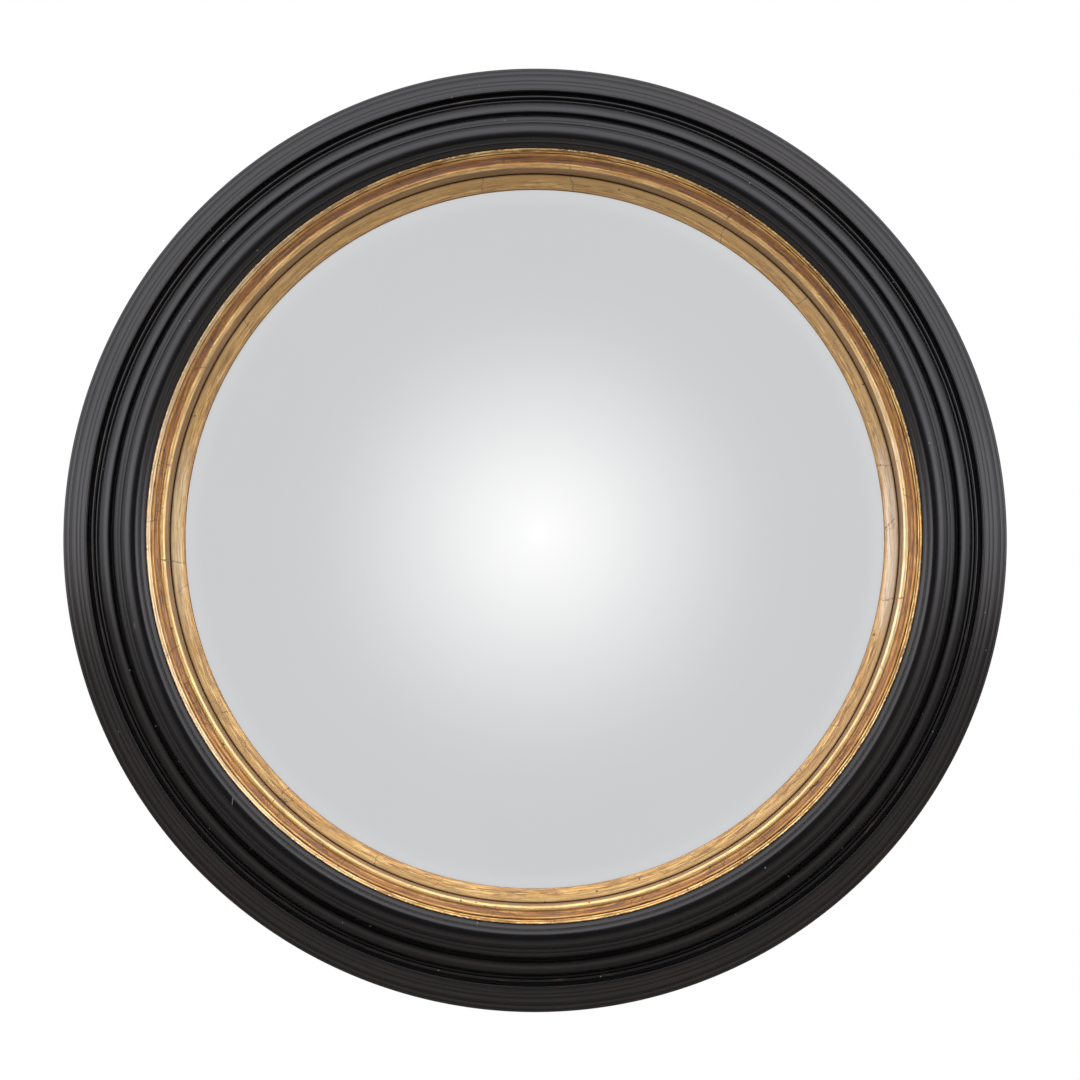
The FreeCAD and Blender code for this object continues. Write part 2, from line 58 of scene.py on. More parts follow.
scene.view_settings.view_transform = "Standard"
scene.view_settings.look = "None"
scene.view_settings.exposure = 0.0
scene.view_settings.gamma = 1.0


# ------------------------------------------------------------------ node helper
class Net:
    """Short names for the nodes that the materials below are made of."""

    def __init__(self, tree):
        self.tree = tree
        self.nodes = tree.nodes
        self.links = tree.links

    def put(self, socket, value):
        if isinstance(value, bpy.types.NodeSocket):
            self.links.new(value, socket)
        elif value is not None:
            socket.default_value = value

    def math(self, op, a, b=None, c=None, clamp=False):
        n = self.nodes.new("ShaderNodeMath")
        n.operation = op
        n.use_clamp = clamp
        self.put(n.inputs[0], a)
        if b is not None:
            self.put(n.inputs[1], b)
        if c is not None:
            self.put(n.inputs[2], c)
        return n.outputs[0]

    def add(self, a, b):
        return self.math("ADD", a, b)

    def sub(self, a, b):
        return self.math("SUBTRACT", a, b)

    def mul(self, a, b):
        return self.math("MULTIPLY", a, b)

    def one_minus(self, a):
        return self.math("SUBTRACT", 1.0, a)

    def step(self, x, lo, hi, smooth=True):
        """0 below lo, 1 above hi; lo may be the larger one."""
        n = self.nodes.new("ShaderNodeMapRange")
        n.interpolation_type = "SMOOTHSTEP" if smooth else "LINEAR"
        n.clamp = True
        if lo > hi and smooth:
            self.put(n.inputs["Value"], x)
            self.put(n.inputs["From Min"], hi)
            self.put(n.inputs["From Max"], lo)
            self.put(n.inputs["To Min"], 1.0)
            self.put(n.inputs["To Max"], 0.0)
            return n.outputs[0]
        self.put(n.inputs["Value"], x)
        self.put(n.inputs["From Min"], lo)
        self.put(n.inputs["From Max"], hi)
        return n.outputs[0]

    def band(self, x, lo, hi, soft):
        """1 between lo and hi, fading to 0 over soft on either side"""
        return self.mul(self.step(x, lo - soft, lo), self.step(x, hi + soft, hi))

    def range(self, x, a, b, c, d):
        n = self.nodes.new("ShaderNodeMapRange")
        n.clamp = True
        for i, v in enumerate((x, a, b, c, d)):
            self.put(n.inputs[i], v)
        return n.outputs[0]

    def vec(self, x, y, z):
        n = self.nodes.new("ShaderNodeCombineXYZ")
        for i, v in enumerate((x, y, z)):
            self.put(n.inputs[i], v)
        return n.outputs[0]

    def noise(self, vector, scale=1.0, detail=2.0, rough=0.5, w=None, colour=False, distortion=0.0):
        n = self.nodes.new("ShaderNodeTexNoise")
        n.noise_dimensions = "3D" if w is None else "4D"
        self.put(n.inputs["Vector"], vector)
        if w is not None:
            self.put(n.inputs["W"], w)
        n.inputs["Scale"].default_value = scale
        n.inputs["Detail"].default_value = detail
        n.inputs["Roughness"].default_value = rough
        n.inputs["Distortion"].default_value = distortion
        return n.outputs["Color" if colour else "Fac"]

    def voronoi(self, vector, scale=1.0, feature="F1", randomness=1.0):
        n = self.nodes.new("ShaderNodeTexVoronoi")
        n.feature = feature
        self.put(n.inputs["Vector"], vector)
        n.inputs["Scale"].default_value = scale
        n.inputs["Randomness"].default_value = randomness
        return n

    def mix(self, fac, a, b, blend="MIX"):
        n = self.nodes.new("ShaderNodeMix")
        n.data_type = "RGBA"
        n.blend_type = blend
        n.clamp_factor = True
        self.put(n.inputs[0], fac)
        for i, v in ((6, a), (7, b)):
            if isinstance(v, (tuple, list)) and len(v) == 3:
                v = (*v, 1.0)
            self.put(n.inputs[i], v)
        return n.outputs[2]

    def lerp(self, fac, a, b):
        n = self.nodes.new("ShaderNodeMix")
        n.data_type = "FLOAT"
        self.put(n.inputs[0], fac)
        self.put(n.inputs[2], a)
        self.put(n.inputs[3], b)
        return n.outputs[0]

    def bump(self, height, strength, distance, normal=None):
        n = self.nodes.new("ShaderNodeBump")
        n.inputs["Strength"].default_value = strength
        n.inputs["Distance"].default_value = distance
        self.put(n.inputs["Height"], height)
        if normal is not None:
            self.put(n.inputs["Normal"], normal)
        return n.outputs[0]

    def ring(self):
        """Coordinates of a turned piece: radius and depth off the wall in mm, the clock
        angle's cosine and sine, and the angle itself in degrees (0 right, 90 top)."""
        tc = self.nodes.new("ShaderNodeTexCoord")
        sep = self.nodes.new("ShaderNodeSeparateXYZ")
        self.links.new(tc.outputs["Object"], sep.inputs[0])
        x, y, z = sep.outputs
        xm, zm = self.mul(x, 1000.0), self.mul(z, 1000.0)
        r = self.math("SQRT", self.add(self.mul(xm, xm), self.mul(zm, zm)))
        rs = self.math("MAXIMUM", r, 0.001)
        self.x, self.z, self.r = xm, zm, r
        self.dep = self.mul(y, -1000.0)
        self.c = self.math("DIVIDE", xm, rs)
        self.s = self.math("DIVIDE", zm, rs)
        self.ang = self.mul(self.math("ARCTAN2", zm, xm), 180.0 / math.pi)
        self.obj = tc.outputs["Object"]
        return self

    def along(self, t, rad, dep=0.0, seed=0.0, **kw):
        """Noise drawn out along the ring: t cycles per radian, rad per mm of radius,
        dep per mm of depth."""
        v = self.vec(self.mul(self.c, t), self.mul(self.s, t), self.mul(self.r, rad))
        w = self.add(self.mul(self.dep, dep), seed) if dep else float(seed)
        return self.noise(v, w=w, **kw)


def material(name):
    m = bpy.data.materials.new(name)
    m.use_nodes = True
    nt = m.node_tree
    nt.nodes.clear()
    out = nt.nodes.new("ShaderNodeOutputMaterial")
    bsdf = nt.nodes.new("ShaderNodeBsdfPrincipled")
    nt.links.new(bsdf.outputs[0], out.inputs[0])
    return m, Net(nt), bsdf


# ------------------------------------------------------------------ materials
FINE_LINES = (301.3, 302.6, 303.9, 305.4, 306.3, 317.4, 321.9, 325.4, 328.4, 334.0, 347.9,
              353.2, 357.0, 358.6, 360.9, 362.2, 364.3, 365.4, 367.1, 368.7, 371.3, 372.6)


def lacquer(n):
    """Colour, roughness and height of thin black lacquer over turned wood"""
    cloud = n.along(2.2, 0.035, 0.02, 3.1, detail=4.0, rough=0.6)
    warm = n.step(cloud, 0.46, 0.66)
    fine = n.along(26.0, 1.7, 1.3, 7.7, detail=3.0, rough=0.65)
    base = n.mix(warm, (0.0022, 0.0021, 0.0025), (0.0046, 0.0036, 0.0032))
    base = n.mix(n.mul(n.step(fine, 0.54, 0.72), 0.8), base, (0.0085, 0.0066, 0.0060))
    # lathe marks: very fine lines that run round the ring
    lines = n.along(3.0, 2.6, 2.1, 12.0, detail=5.0, rough=0.75)
    tool = n.along(1.2, 0.9, 0.8, 31.0, detail=3.0, rough=0.6)
    cut = None
    for i, r0 in enumerate(FINE_LINES):
        one = n.mul(n.step(n.math("ABSOLUTE", n.sub(n.r, r0)), 0.24, 0.02), 0.5 + 0.5 * ((i * 7) % 5) / 4)
        cut = one if cut is None else n.math("MAXIMUM", cut, one)
    cut = n.mul(cut, n.range(n.along(5.0, 0.3, 0.0, 71.0, detail=3.0, rough=0.6), 0.40, 0.60, 0.25, 1.0))
    # dust nibs and tiny pale specks
    spots = n.voronoi(n.obj, 95.0)
    sel = n.nodes.new("ShaderNodeSeparateColor")
    n.links.new(spots.outputs["Color"], sel.inputs[0])
    speck = n.step(spots.outputs["Distance"], 0.060, 0.030)
    speck = n.mul(speck, n.step(sel.outputs[0], 0.74, 0.78))
    small = n.voronoi(n.obj, 210.0)
    sel2 = n.nodes.new("ShaderNodeSeparateColor")
    n.links.new(small.outputs["Color"], sel2.inputs[0])
    dust = n.mul(n.step(small.outputs["Distance"], 0.10, 0.03), n.step(sel2.outputs[0], 0.82, 0.88))
    nib = n.mul(n.step(spots.outputs["Distance"], 0.07, 0.0), n.step(sel.outputs[1], 0.55, 0.6))
    base = n.mix(n.mul(speck, 0.75), base, (0.30, 0.29, 0.27))
    base = n.mix(n.mul(dust, 0.45), base, (0.12, 0.115, 0.11))
    rough = n.add(0.140, n.mul(lines, 0.12))
    rough = n.add(rough, n.mul(cloud, 0.10))
    # the steep reeds beside the crest are duller than the round mouldings
    rough = n.add(rough, n.mul(n.band(n.r, 315.5, 327.0, 1.0), 0.15))
    rough = n.add(rough, n.mul(speck, 0.3))
    peel = n.noise(n.obj, 420.0, 3.0, 0.55)
    h = n.add(n.mul(lines, 0.60), n.mul(tool, 0.9))
    h = n.add(h, n.mul(peel, 0.22))
    h = n.add(h, n.mul(nib, 0.7))
    h = n.sub(h, n.mul(cut, 1.5))
    return base, rough, h, speck


def make_lacquer():
    m, n, b = material("black_lacquer")
    n.ring()
    base, rough, h, speck = lacquer(n)
    # the lacquer is rubbed through to brown on the sharpest arrises, here and there
    worn = n.along(14.0, 0.25, 0.2, 50.0, detail=5.0, rough=0.7)
    arris = n.band(n.r, 346.6, 349.6, 0.6)
    arris = n.math("MAXIMUM", arris, n.band(n.r, 300.0, 301.2, 0.3))
    worn = n.mul(n.step(worn, 0.58, 0.68), arris)
    base = n.mix(n.mul(worn, 0.6), base, (0.060, 0.034, 0.018))

    def scuff(a0, half_a, r0, half_r, seed):
        da = n.math("ABSOLUTE", n.sub(n.ang, a0))
        spot = n.mul(n.step(da, half_a, half_a * 0.25),
                     n.step(n.math("ABSOLUTE", n.sub(n.r, r0)), half_r, half_r * 0.2))
        grain = n.along(90.0, 1.2, 0.0, seed, detail=4.0, rough=0.7)
        return n.mul(spot, n.step(grain, 0.40, 0.55))

    base = n.mix(n.mul(scuff(-167.2, 0.55, 315.8, 1.3, 5.0), 0.80), base, (0.150, 0.095, 0.055))
    # a pale scratch that curves across the lower left of the crest
    turn_to = n.sub(n.ang, n.add(-138.6, n.mul(n.sub(n.r, 309.5), 0.16)))
    mark = n.mul(n.step(n.math("ABSOLUTE", turn_to), 0.14, 0.04), n.band(n.r, 307.6, 311.4, 0.6))
    base = n.mix(n.mul(mark, 0.55), base, (0.17, 0.16, 0.16))
    b.inputs["Specular IOR Level"].default_value = 0.5
    b.inputs["Specular Tint"].default_value = (0.985, 0.960, 1.0, 1.0)
    n.put(b.inputs["Roughness"], rough)
    n.put(b.inputs["Base Color"], base)
    n.put(b.inputs["Normal"], n.bump(h, 0.5, 0.00006))
    return m


def wood_nodes(n, light, dark, ring_scale=1.0):
    """Straight-grained turned segments: each of the eight has its grain along its own
    chord, and a tone of its own."""
    k = n.math("FLOOR", n.math("DIVIDE", n.add(n.ang, 22.5), 45.0))
    k = n.math("MODULO", n.add(k, 8.0), 8.0)
    turn = n.mul(k, math.pi / 4)
    ca, sa = n.math("COSINE", turn), n.math("SINE", turn)
    u = n.sub(n.mul(n.x, ca), n.mul(n.mul(n.z, sa), -1.0))       # across, radial
    v = n.sub(n.mul(n.z, ca), n.mul(n.x, sa))                    # along the grain
    seed = n.mul(n.add(k, 9.0), 13.7)
    wob = n.noise(n.vec(n.mul(v, 0.012), n.mul(u, 0.03), seed), 1.0, 2.0, 0.5)
    band = n.math("SINE", n.add(n.mul(n.add(u, n.mul(wob, 26.0)), 0.85 * ring_scale), seed))
    fibre = n.noise(n.vec(n.mul(v, 0.035), n.mul(u, 1.1), n.mul(n.dep, 1.0)), 1.0, 5.0, 0.70, w=seed)
    pore = n.noise(n.vec(n.mul(v, 0.09), n.mul(u, 1.9), n.mul(n.dep, 1.6)), 1.0, 3.0, 0.6, w=n.add(seed, 4.0))
    tone = n.noise(n.vec(seed, 0.0, 0.0), 1.0, 0.0, 0.5)
    f = n.add(n.mul(n.range(band, -1.0, 1.0, 0.0, 1.0), 0.34), n.mul(fibre, 0.66))
    col = n.mix(n.step(f, 0.25, 0.78), light, dark)
    col = n.mix(n.mul(n.step(pore, 0.56, 0.64), 0.7), col, tuple(c * 0.45 for c in dark))
    col = n.mix(n.range(tone, 0.3, 0.7, 0.0, 0.35), col, tuple(c * 0.7 for c in light))
    return col, fibre, pore


def make_lacquer_wood():
    """The rear ring: lacquered on the face and edge, bare stained wood on the back."""
    m, n, b = material("black_lacquer_and_back_wood")
    n.ring()
    col, fibre, pore = wood_nodes(n, (0.36, 0.235, 0.125), (0.20, 0.115, 0.055))
    # lacquer, as on the front ring
    base, rough, height, speck = lacquer(n)
    base = n.mix(n.mul(n.step(n.along(8.0, 0.5, 0.4, 15.0, detail=4.0, rough=0.6), 0.45, 0.65), 0.6),
                 base, (0.0105, 0.0080, 0.0066))
    worn = n.along(16.0, 0.25, 0.2, 50.0, detail=5.0, rough=0.7)
    worn = n.mul(n.step(worn, 0.57, 0.68), n.band(n.r, 373.6, 375.4, 0.5))
    base = n.mix(n.mul(worn, 0.45), base, (0.060, 0.034, 0.018))
    # the brush went a little way over the back's outer edge
    edge = n.along(9.0, 0.05, 0.0, 77.0, detail=5.0, rough=0.7)
    over = n.sub(n.r, n.add(366.5, n.mul(edge, 8.0)))
    is_back = n.mul(n.step(n.dep, 7.35, 7.15), n.step(over, 0.5, -0.5))
    rebate = n.mul(n.step(n.r, 316.4, 316.2), n.step(n.dep, 14.0, 11.0))
    is_wood = n.math("MAXIMUM", is_back, rebate)
    base = n.mix(is_wood, base, col)
    n.put(b.inputs["Base Color"], base)
    n.put(b.inputs["Roughness"], n.lerp(is_wood, rough, n.add(0.55, n.mul(fibre, 0.25))))
    b.inputs["Specular IOR Level"].default_value = 0.5
    b.inputs["Specular Tint"].default_value = (0.985, 0.960, 1.0, 1.0)
    h = n.lerp(is_wood, height, n.sub(n.mul(fibre, 2.0), n.mul(pore, 1.6)))
    n.put(b.inputs["Normal"], n.bump(h, 0.5, 0.00006))
    return m


def gilding(n, seed):
    """Colour and height of old burnished leaf, brushed and glazed round the ring"""
    tone = n.along(3.2, 0.05, 0.05, seed, detail=2.0, rough=0.5)
    broad = n.along(8.0, 0.45, 0.40, seed + 7.0, detail=5.0, rough=0.70)
    thread = n.along(11.0, 1.00, 0.85, seed + 17.0, detail=4.0, rough=0.68)
    dash = n.along(24.0, 0.85, 0.75, seed + 29.0, detail=4.0, rough=0.68)
    glint = n.along(15.0, 0.95, 0.85, seed + 41.0, detail=4.0, rough=0.68)
    grit = n.along(150.0, 1.3, 1.3, seed + 53.0, detail=3.0, rough=0.7)
    col = n.mix(n.step(tone, 0.36, 0.64), (0.90, 0.585, 0.215), (0.80, 0.470, 0.150))
    col = n.mix(n.mul(n.step(broad, 0.42, 0.62), 0.75), col, (0.56, 0.285, 0.080))
    col = n.mix(n.mul(n.step(thread, 0.50, 0.58), 0.66), col, (0.30, 0.135, 0.045))
    col = n.mix(n.mul(n.step(dash, 0.55, 0.62), 0.78), col, (0.135, 0.060, 0.028))
    # long hair lines left by the brush
    hair = None
    for t, rad, off, wide in ((5.0, 0.50, 101.0, 0.055), (8.0, 0.85, 113.0, 0.050)):
        one = n.along(t, rad, rad * 0.9, seed + off, detail=3.0, rough=0.60)
        one = n.step(n.math("ABSOLUTE", n.sub(one, 0.5)), wide, 0.012)
        hair = one if hair is None else n.math("MAXIMUM", hair, one)
    hair = n.mul(hair, n.range(n.along(9.0, 0.35, 0.3, seed + 127.0, detail=3.0, rough=0.6), 0.42, 0.56, 0.10, 0.85))
    col = n.mix(hair, col, (0.190, 0.088, 0.036))
    col = n.mix(n.mul(n.step(glint, 0.53, 0.62), 0.65), col, (1.0, 0.76, 0.36))
    col = n.mix(n.mul(n.step(grit, 0.60, 0.68), 0.45), col, (0.24, 0.115, 0.045))
    h = n.add(n.mul(broad, 0.7), n.mul(thread, 0.6))
    h = n.sub(h, n.mul(n.step(dash, 0.55, 0.64), 0.35))
    h = n.sub(h, n.mul(hair, 0.30))
    h = n.add(h, n.mul(grit, 0.25))
    return col, broad, thread, h


# clock angle, slope in degrees per mm of radius, first and last radius, strength: where
# one leaf laps the next, and where the ground has cracked across the grain
LAPS = ((-9.6, 0.050, 274, 291, 0.9), (-41.6, -0.070, 275, 284, 0.7), (-53.0, 0.030, 286, 300, 0.7),
        (-68.7, 0.085, 275, 289, 0.8), (-95.9, -0.040, 286, 296, 0.6), (-116.0, 0.060, 275, 286, 0.8),
        (-123.1, -0.090, 288, 300, 0.7), (-134.6, 0.020, 275, 292, 0.9), (-151.0, -0.050, 276, 286, 0.7),
        (-163.2, 0.075, 287, 299, 0.8), (-176.3, -0.025, 274, 290, 1.0), (168.6, 0.060, 286, 297, 0.7),
        (143.0, -0.080, 275, 286, 0.8), (121.5, 0.045, 287, 299, 0.6), (98.2, -0.030, 275, 287, 0.7),
        (84.3, 0.065, 274, 288, 0.9), (70.1, -0.055, 287, 296, 0.6), (58.5, 0.040, 275, 291, 0.8),
        (41.4, -0.065, 276, 286, 0.7), (26.7, 0.090, 288, 299, 0.7), (11.7, -0.035, 274, 288, 0.9),
        (3.4, 0.170, 276, 284, 0.9), (2.6, 0.150, 277, 283, 0.7), (6.8, -0.110, 288, 294, 1.0),
        (177.1, 0.050, 293, 300, 0.8), (-171.2, 0.140, 275, 283, 0.8), (169.9, -0.120, 290, 296, 0.9),
        (-87.3, 0.020, 294, 300, 0.6), (-31.0, 0.130, 276, 282, 0.7), (-20.2, -0.150, 287, 292, 0.8),
        (-62.5, 0.160, 276, 281, 0.6), (-106.4, -0.170, 277, 284, 0.7), (-143.3, 0.210, 276, 284, 0.7),
        (152.2, 0.180, 287, 293, 0.8), (131.0, -0.190, 276, 282, 0.6), (109.6, 0.160, 288, 295, 0.8),
        (48.8, -0.140, 287, 292, 0.8), (33.9, 0.200, 276, 283, 0.7), (18.3, -0.160, 276, 281, 0.6))


def lap_lines(n, lo, hi):
    """Hairlines across the leaf, each with its own slope, reach and strength"""
    total = None
    wob = n.noise(n.vec(n.mul(n.x, 0.16), n.mul(n.z, 0.16), n.mul(n.dep, 0.3)), 1.0, 4.0, 0.65)
    wob = n.mul(n.sub(wob, 0.5), 1.5)
    base = n.sub(n.ang, wob)
    for a0, slope, r_in, r_out, strength in LAPS:
        if r_out <= lo or r_in >= hi:
            continue
        d = n.sub(base, n.add(a0, n.mul(n.sub(n.r, 285.0), slope)))
        line = n.step(n.math("ABSOLUTE", d), 0.115, 0.035)
        line = n.mul(line, n.mul(n.band(n.r, r_in, r_out, 0.8), strength))
        total = line if total is None else n.math("MAXIMUM", total, line)
    broken = n.noise(n.vec(n.mul(n.x, 0.7), n.mul(n.z, 0.7), n.dep), 1.0, 3.0, 0.6)
    return n.mul(total, n.step(broken, 0.38, 0.48))


def chips(n, scale, seed, amount, size):
    """Small dark losses in the leaf, as a mask"""
    v = n.voronoi(n.vec(n.mul(n.x, scale), n.mul(n.z, scale), n.mul(n.dep, scale)), 1.0)
    sel = n.nodes.new("ShaderNodeSeparateColor")
    n.links.new(v.outputs["Color"], sel.inputs[0])
    ragged = n.noise(n.vec(n.x, n.z, n.dep), 1.6, 3.0, 0.7, w=float(seed))
    far = n.add(0.02, n.mul(sel.outputs[1], size))
    d = n.add(v.outputs["Distance"], n.mul(n.sub(ragged, 0.5), 0.20))
    hit = n.step(n.sub(d, far), 0.03, -0.01)
    return n.mul(hit, n.step(sel.outputs[0], 1.0 - amount, 1.0 - amount + 0.02))


def glaze_gap(n):
    return n.along(13.0, 0.8, 0.0, 64.0, detail=4.0, rough=0.68)


def make_gilt():
    m, n, b = material("gilding")
    n.ring()
    col, broad, thread, h = gilding(n, 14.0)
    # ragged, wavy shore of the brown glaze that lies in the hollow
    slow = n.along(9.0, 0.05, 0.0, 88.0, detail=4.0, rough=0.6)
    quick = n.along(46.0, 0.35, 0.0, 18.0, detail=4.0, rough=0.7)
    wander = n.add(n.mul(n.sub(slow, 0.5), 4.6), n.mul(n.sub(quick, 0.5), 2.6))
    # at the top the glaze's shore moves inward, a painted shade over the inner bead's outer flank
    r_w = n.add(n.add(n.r, wander), n.mul(n.step(n.s, 0.30, 0.95), 1.7))
    r_q = n.add(n.r, n.mul(n.sub(quick, 0.5), 1.6))
    stripe = n.along(7.0, 0.90, 0.6, 5.5, detail=4.0, rough=0.7)
    # painted highlight along the crest of the inner bead
    crest = n.mul(n.band(n.r, 286.9, 289.9, 0.7), 0.36)
    col = n.mix(crest, col, (1.0, 0.76, 0.38))
    amber = n.mul(n.step(r_w, 289.3, 290.6), n.step(r_q, 295.9, 294.9))
    col = n.mix(n.mul(amber, n.range(stripe, 0.36, 0.62, 0.35, 0.90)), col, (0.40, 0.165, 0.040))
    purple = n.mul(n.step(r_w, 291.6, 292.4), n.step(r_q, 295.0, 293.9))
    ptone = n.mix(n.step(stripe, 0.40, 0.62), (0.075, 0.032, 0.024), (0.215, 0.115, 0.078))
    purple = n.mul(purple, n.range(n.along(11.0, 0.75, 0.0, 61.0, detail=4.0, rough=0.7), 0.40, 0.58, 1.0, 0.35))
    col = n.mix(purple, col, ptone)
    # painted shade: dark lines in the quirks between the fine reeds and the outer bead, the outer one stronger towards
    # the right
    gap = n.along(7.0, 0.02, 0.0, 40.0, detail=3.0, rough=0.6)
    cut = n.band(n.add(n.r, n.mul(n.sub(quick, 0.5), 0.5)), 296.50, 296.95, 0.22)
    outer_quirk_shade = n.band(n.add(n.r, n.mul(n.sub(quick, 0.5), 0.4)), 298.15, 298.45, 0.20)
    cut = n.mul(cut, n.range(gap, 0.38, 0.62, 1.0, 0.55))
    outer_quirk_shade = n.mul(outer_quirk_shade, n.mul(n.range(gap, 0.38, 0.62, 0.55, 1.0), n.range(n.c, -0.9, 0.7, 0.25, 1.0)))
    cut = n.math("MAXIMUM", cut, outer_quirk_shade)
    col = n.mix(cut, col, (0.070, 0.032, 0.020))
    reed = n.band(n.r, 295.1, 296.2, 0.35)
    col = n.mix(n.mul(reed, n.range(broad, 0.40, 0.62, 0.1, 0.75)), col, (0.40, 0.19, 0.075))
    # paler on the outer bead at the left and the inner bead at the right: rubbed leaf, and a painted highlight where
    # the side lamps catch the beads
    bead_rub_and_side_highlight = n.mul(n.step(n.c, -0.25, -0.90), n.band(n.r, 296.9, 299.7, 0.5))
    inner_bead_rub_and_side_highlight = n.mul(n.step(n.c, 0.80, 0.99), n.band(n.r, 287.0, 289.8, 0.6))
    bead_rub_and_side_highlight = n.math("MAXIMUM", bead_rub_and_side_highlight, inner_bead_rub_and_side_highlight)
    col = n.mix(n.mul(bead_rub_and_side_highlight, n.range(glaze_gap(n), 0.36, 0.60, 0.62, 0.20)), col, (1.0, 0.83, 0.58))
    # painted highlight: a bright, broken line along the outer edge of the leaf against the black
    rim = n.add(n.r, n.mul(n.sub(n.along(90.0, 0.5, 0.0, 91.0, detail=3.0, rough=0.65), 0.5), 1.3))
    leaf_edge_highlight = n.mul(n.band(n.r, 299.1, 299.8, 0.25), n.step(n.along(120.0, 0.6, 0.0, 97.0, detail=3.0, rough=0.6), 0.50, 0.60))
    col = n.mix(n.mul(leaf_edge_highlight, 0.8), col, (1.0, 0.84, 0.52))
    beyond = n.step(rim, 299.90, 300.10)
    col = n.mix(n.mul(beyond, 0.92), col, (0.030, 0.018, 0.012))
    # painted shade: the plain wall below the bead gets a flat grey-brown in place of leaf, the look of the wall in its
    # shade
    low = n.add(n.dep, n.mul(n.sub(n.along(30.0, 0.2, 0.0, 66.0, detail=4.0, rough=0.7), 0.5), 1.6))
    wall = n.mul(n.step(low, 58.0, 57.3), n.step(n.r, 287.2, 286.8))
    wtone = n.noise(n.vec(n.mul(n.c, 5.0), n.mul(n.s, 5.0), n.mul(n.dep, 0.42)), 1.0, 4.0, 0.6)
    wall_shade_col = n.mix(n.step(wtone, 0.36, 0.64), (0.155, 0.086, 0.038), (0.320, 0.185, 0.090))
    # painted shade: darker towards the wall's foot, deep in the recess by the slip
    wall_foot_shade = n.step(n.dep, 43.5, 39.5)
    wall_shade_col = n.mix(n.mul(wall_foot_shade, 0.6), wall_shade_col, (0.060, 0.038, 0.024))
    col = n.mix(wall, col, wall_shade_col)
    # losses, laps, cracks
    ch = n.mul(chips(n, 0.16, 3, 0.22, 0.14), n.step(n.r, 289.6, 288.2))
    ch2 = n.mul(chips(n, 0.10, 11, 0.16, 0.10), n.step(n.r, 300.5, 299.5))
    lap = n.mul(lap_lines(n, 286.0, 300.5), n.one_minus(wall))
    crack = n.voronoi(n.vec(n.mul(n.c, 34.0), n.mul(n.s, 34.0), n.mul(n.r, 0.16)), 1.0, "DISTANCE_TO_EDGE")
    cr = n.step(crack.outputs["Distance"], 0.020, 0.006)
    cr = n.mul(cr, n.step(n.along(8.0, 0.05, 0.0, 23.0, detail=2.0, rough=0.5), 0.47, 0.55))
    cr = n.mul(cr, n.band(n.r, 289.2, 294.8, 0.5))
    dark = n.math("MAXIMUM", n.math("MAXIMUM", n.mul(ch, 0.95), n.mul(lap, 0.85)), n.mul(cr, 0.85))
    dark = n.math("MAXIMUM", dark, n.mul(ch2, 0.8))
    col = n.mix(dark, col, (0.040, 0.020, 0.012))
    n.put(b.inputs["Base Color"], col)
    metal = n.sub(0.78, n.mul(purple, 0.60))
    metal = n.mul(metal, n.one_minus(wall))
    metal = n.mul(metal, n.one_minus(dark))
    n.put(b.inputs["Metallic"], metal)
    rough = n.add(0.30, n.mul(broad, 0.22))
    rough = n.add(rough, n.mul(purple, 0.10))
    rough = n.lerp(wall, rough, 0.50)
    n.put(b.inputs["Roughness"], rough)
    h = n.sub(h, n.mul(dark, 1.6))
    h = n.sub(h, n.mul(cut, 0.5))
    h = n.sub(h, n.mul(amber, 0.4))
    n.put(b.inputs["Normal"], n.bump(h, 0.6, 0.00014))
    return m


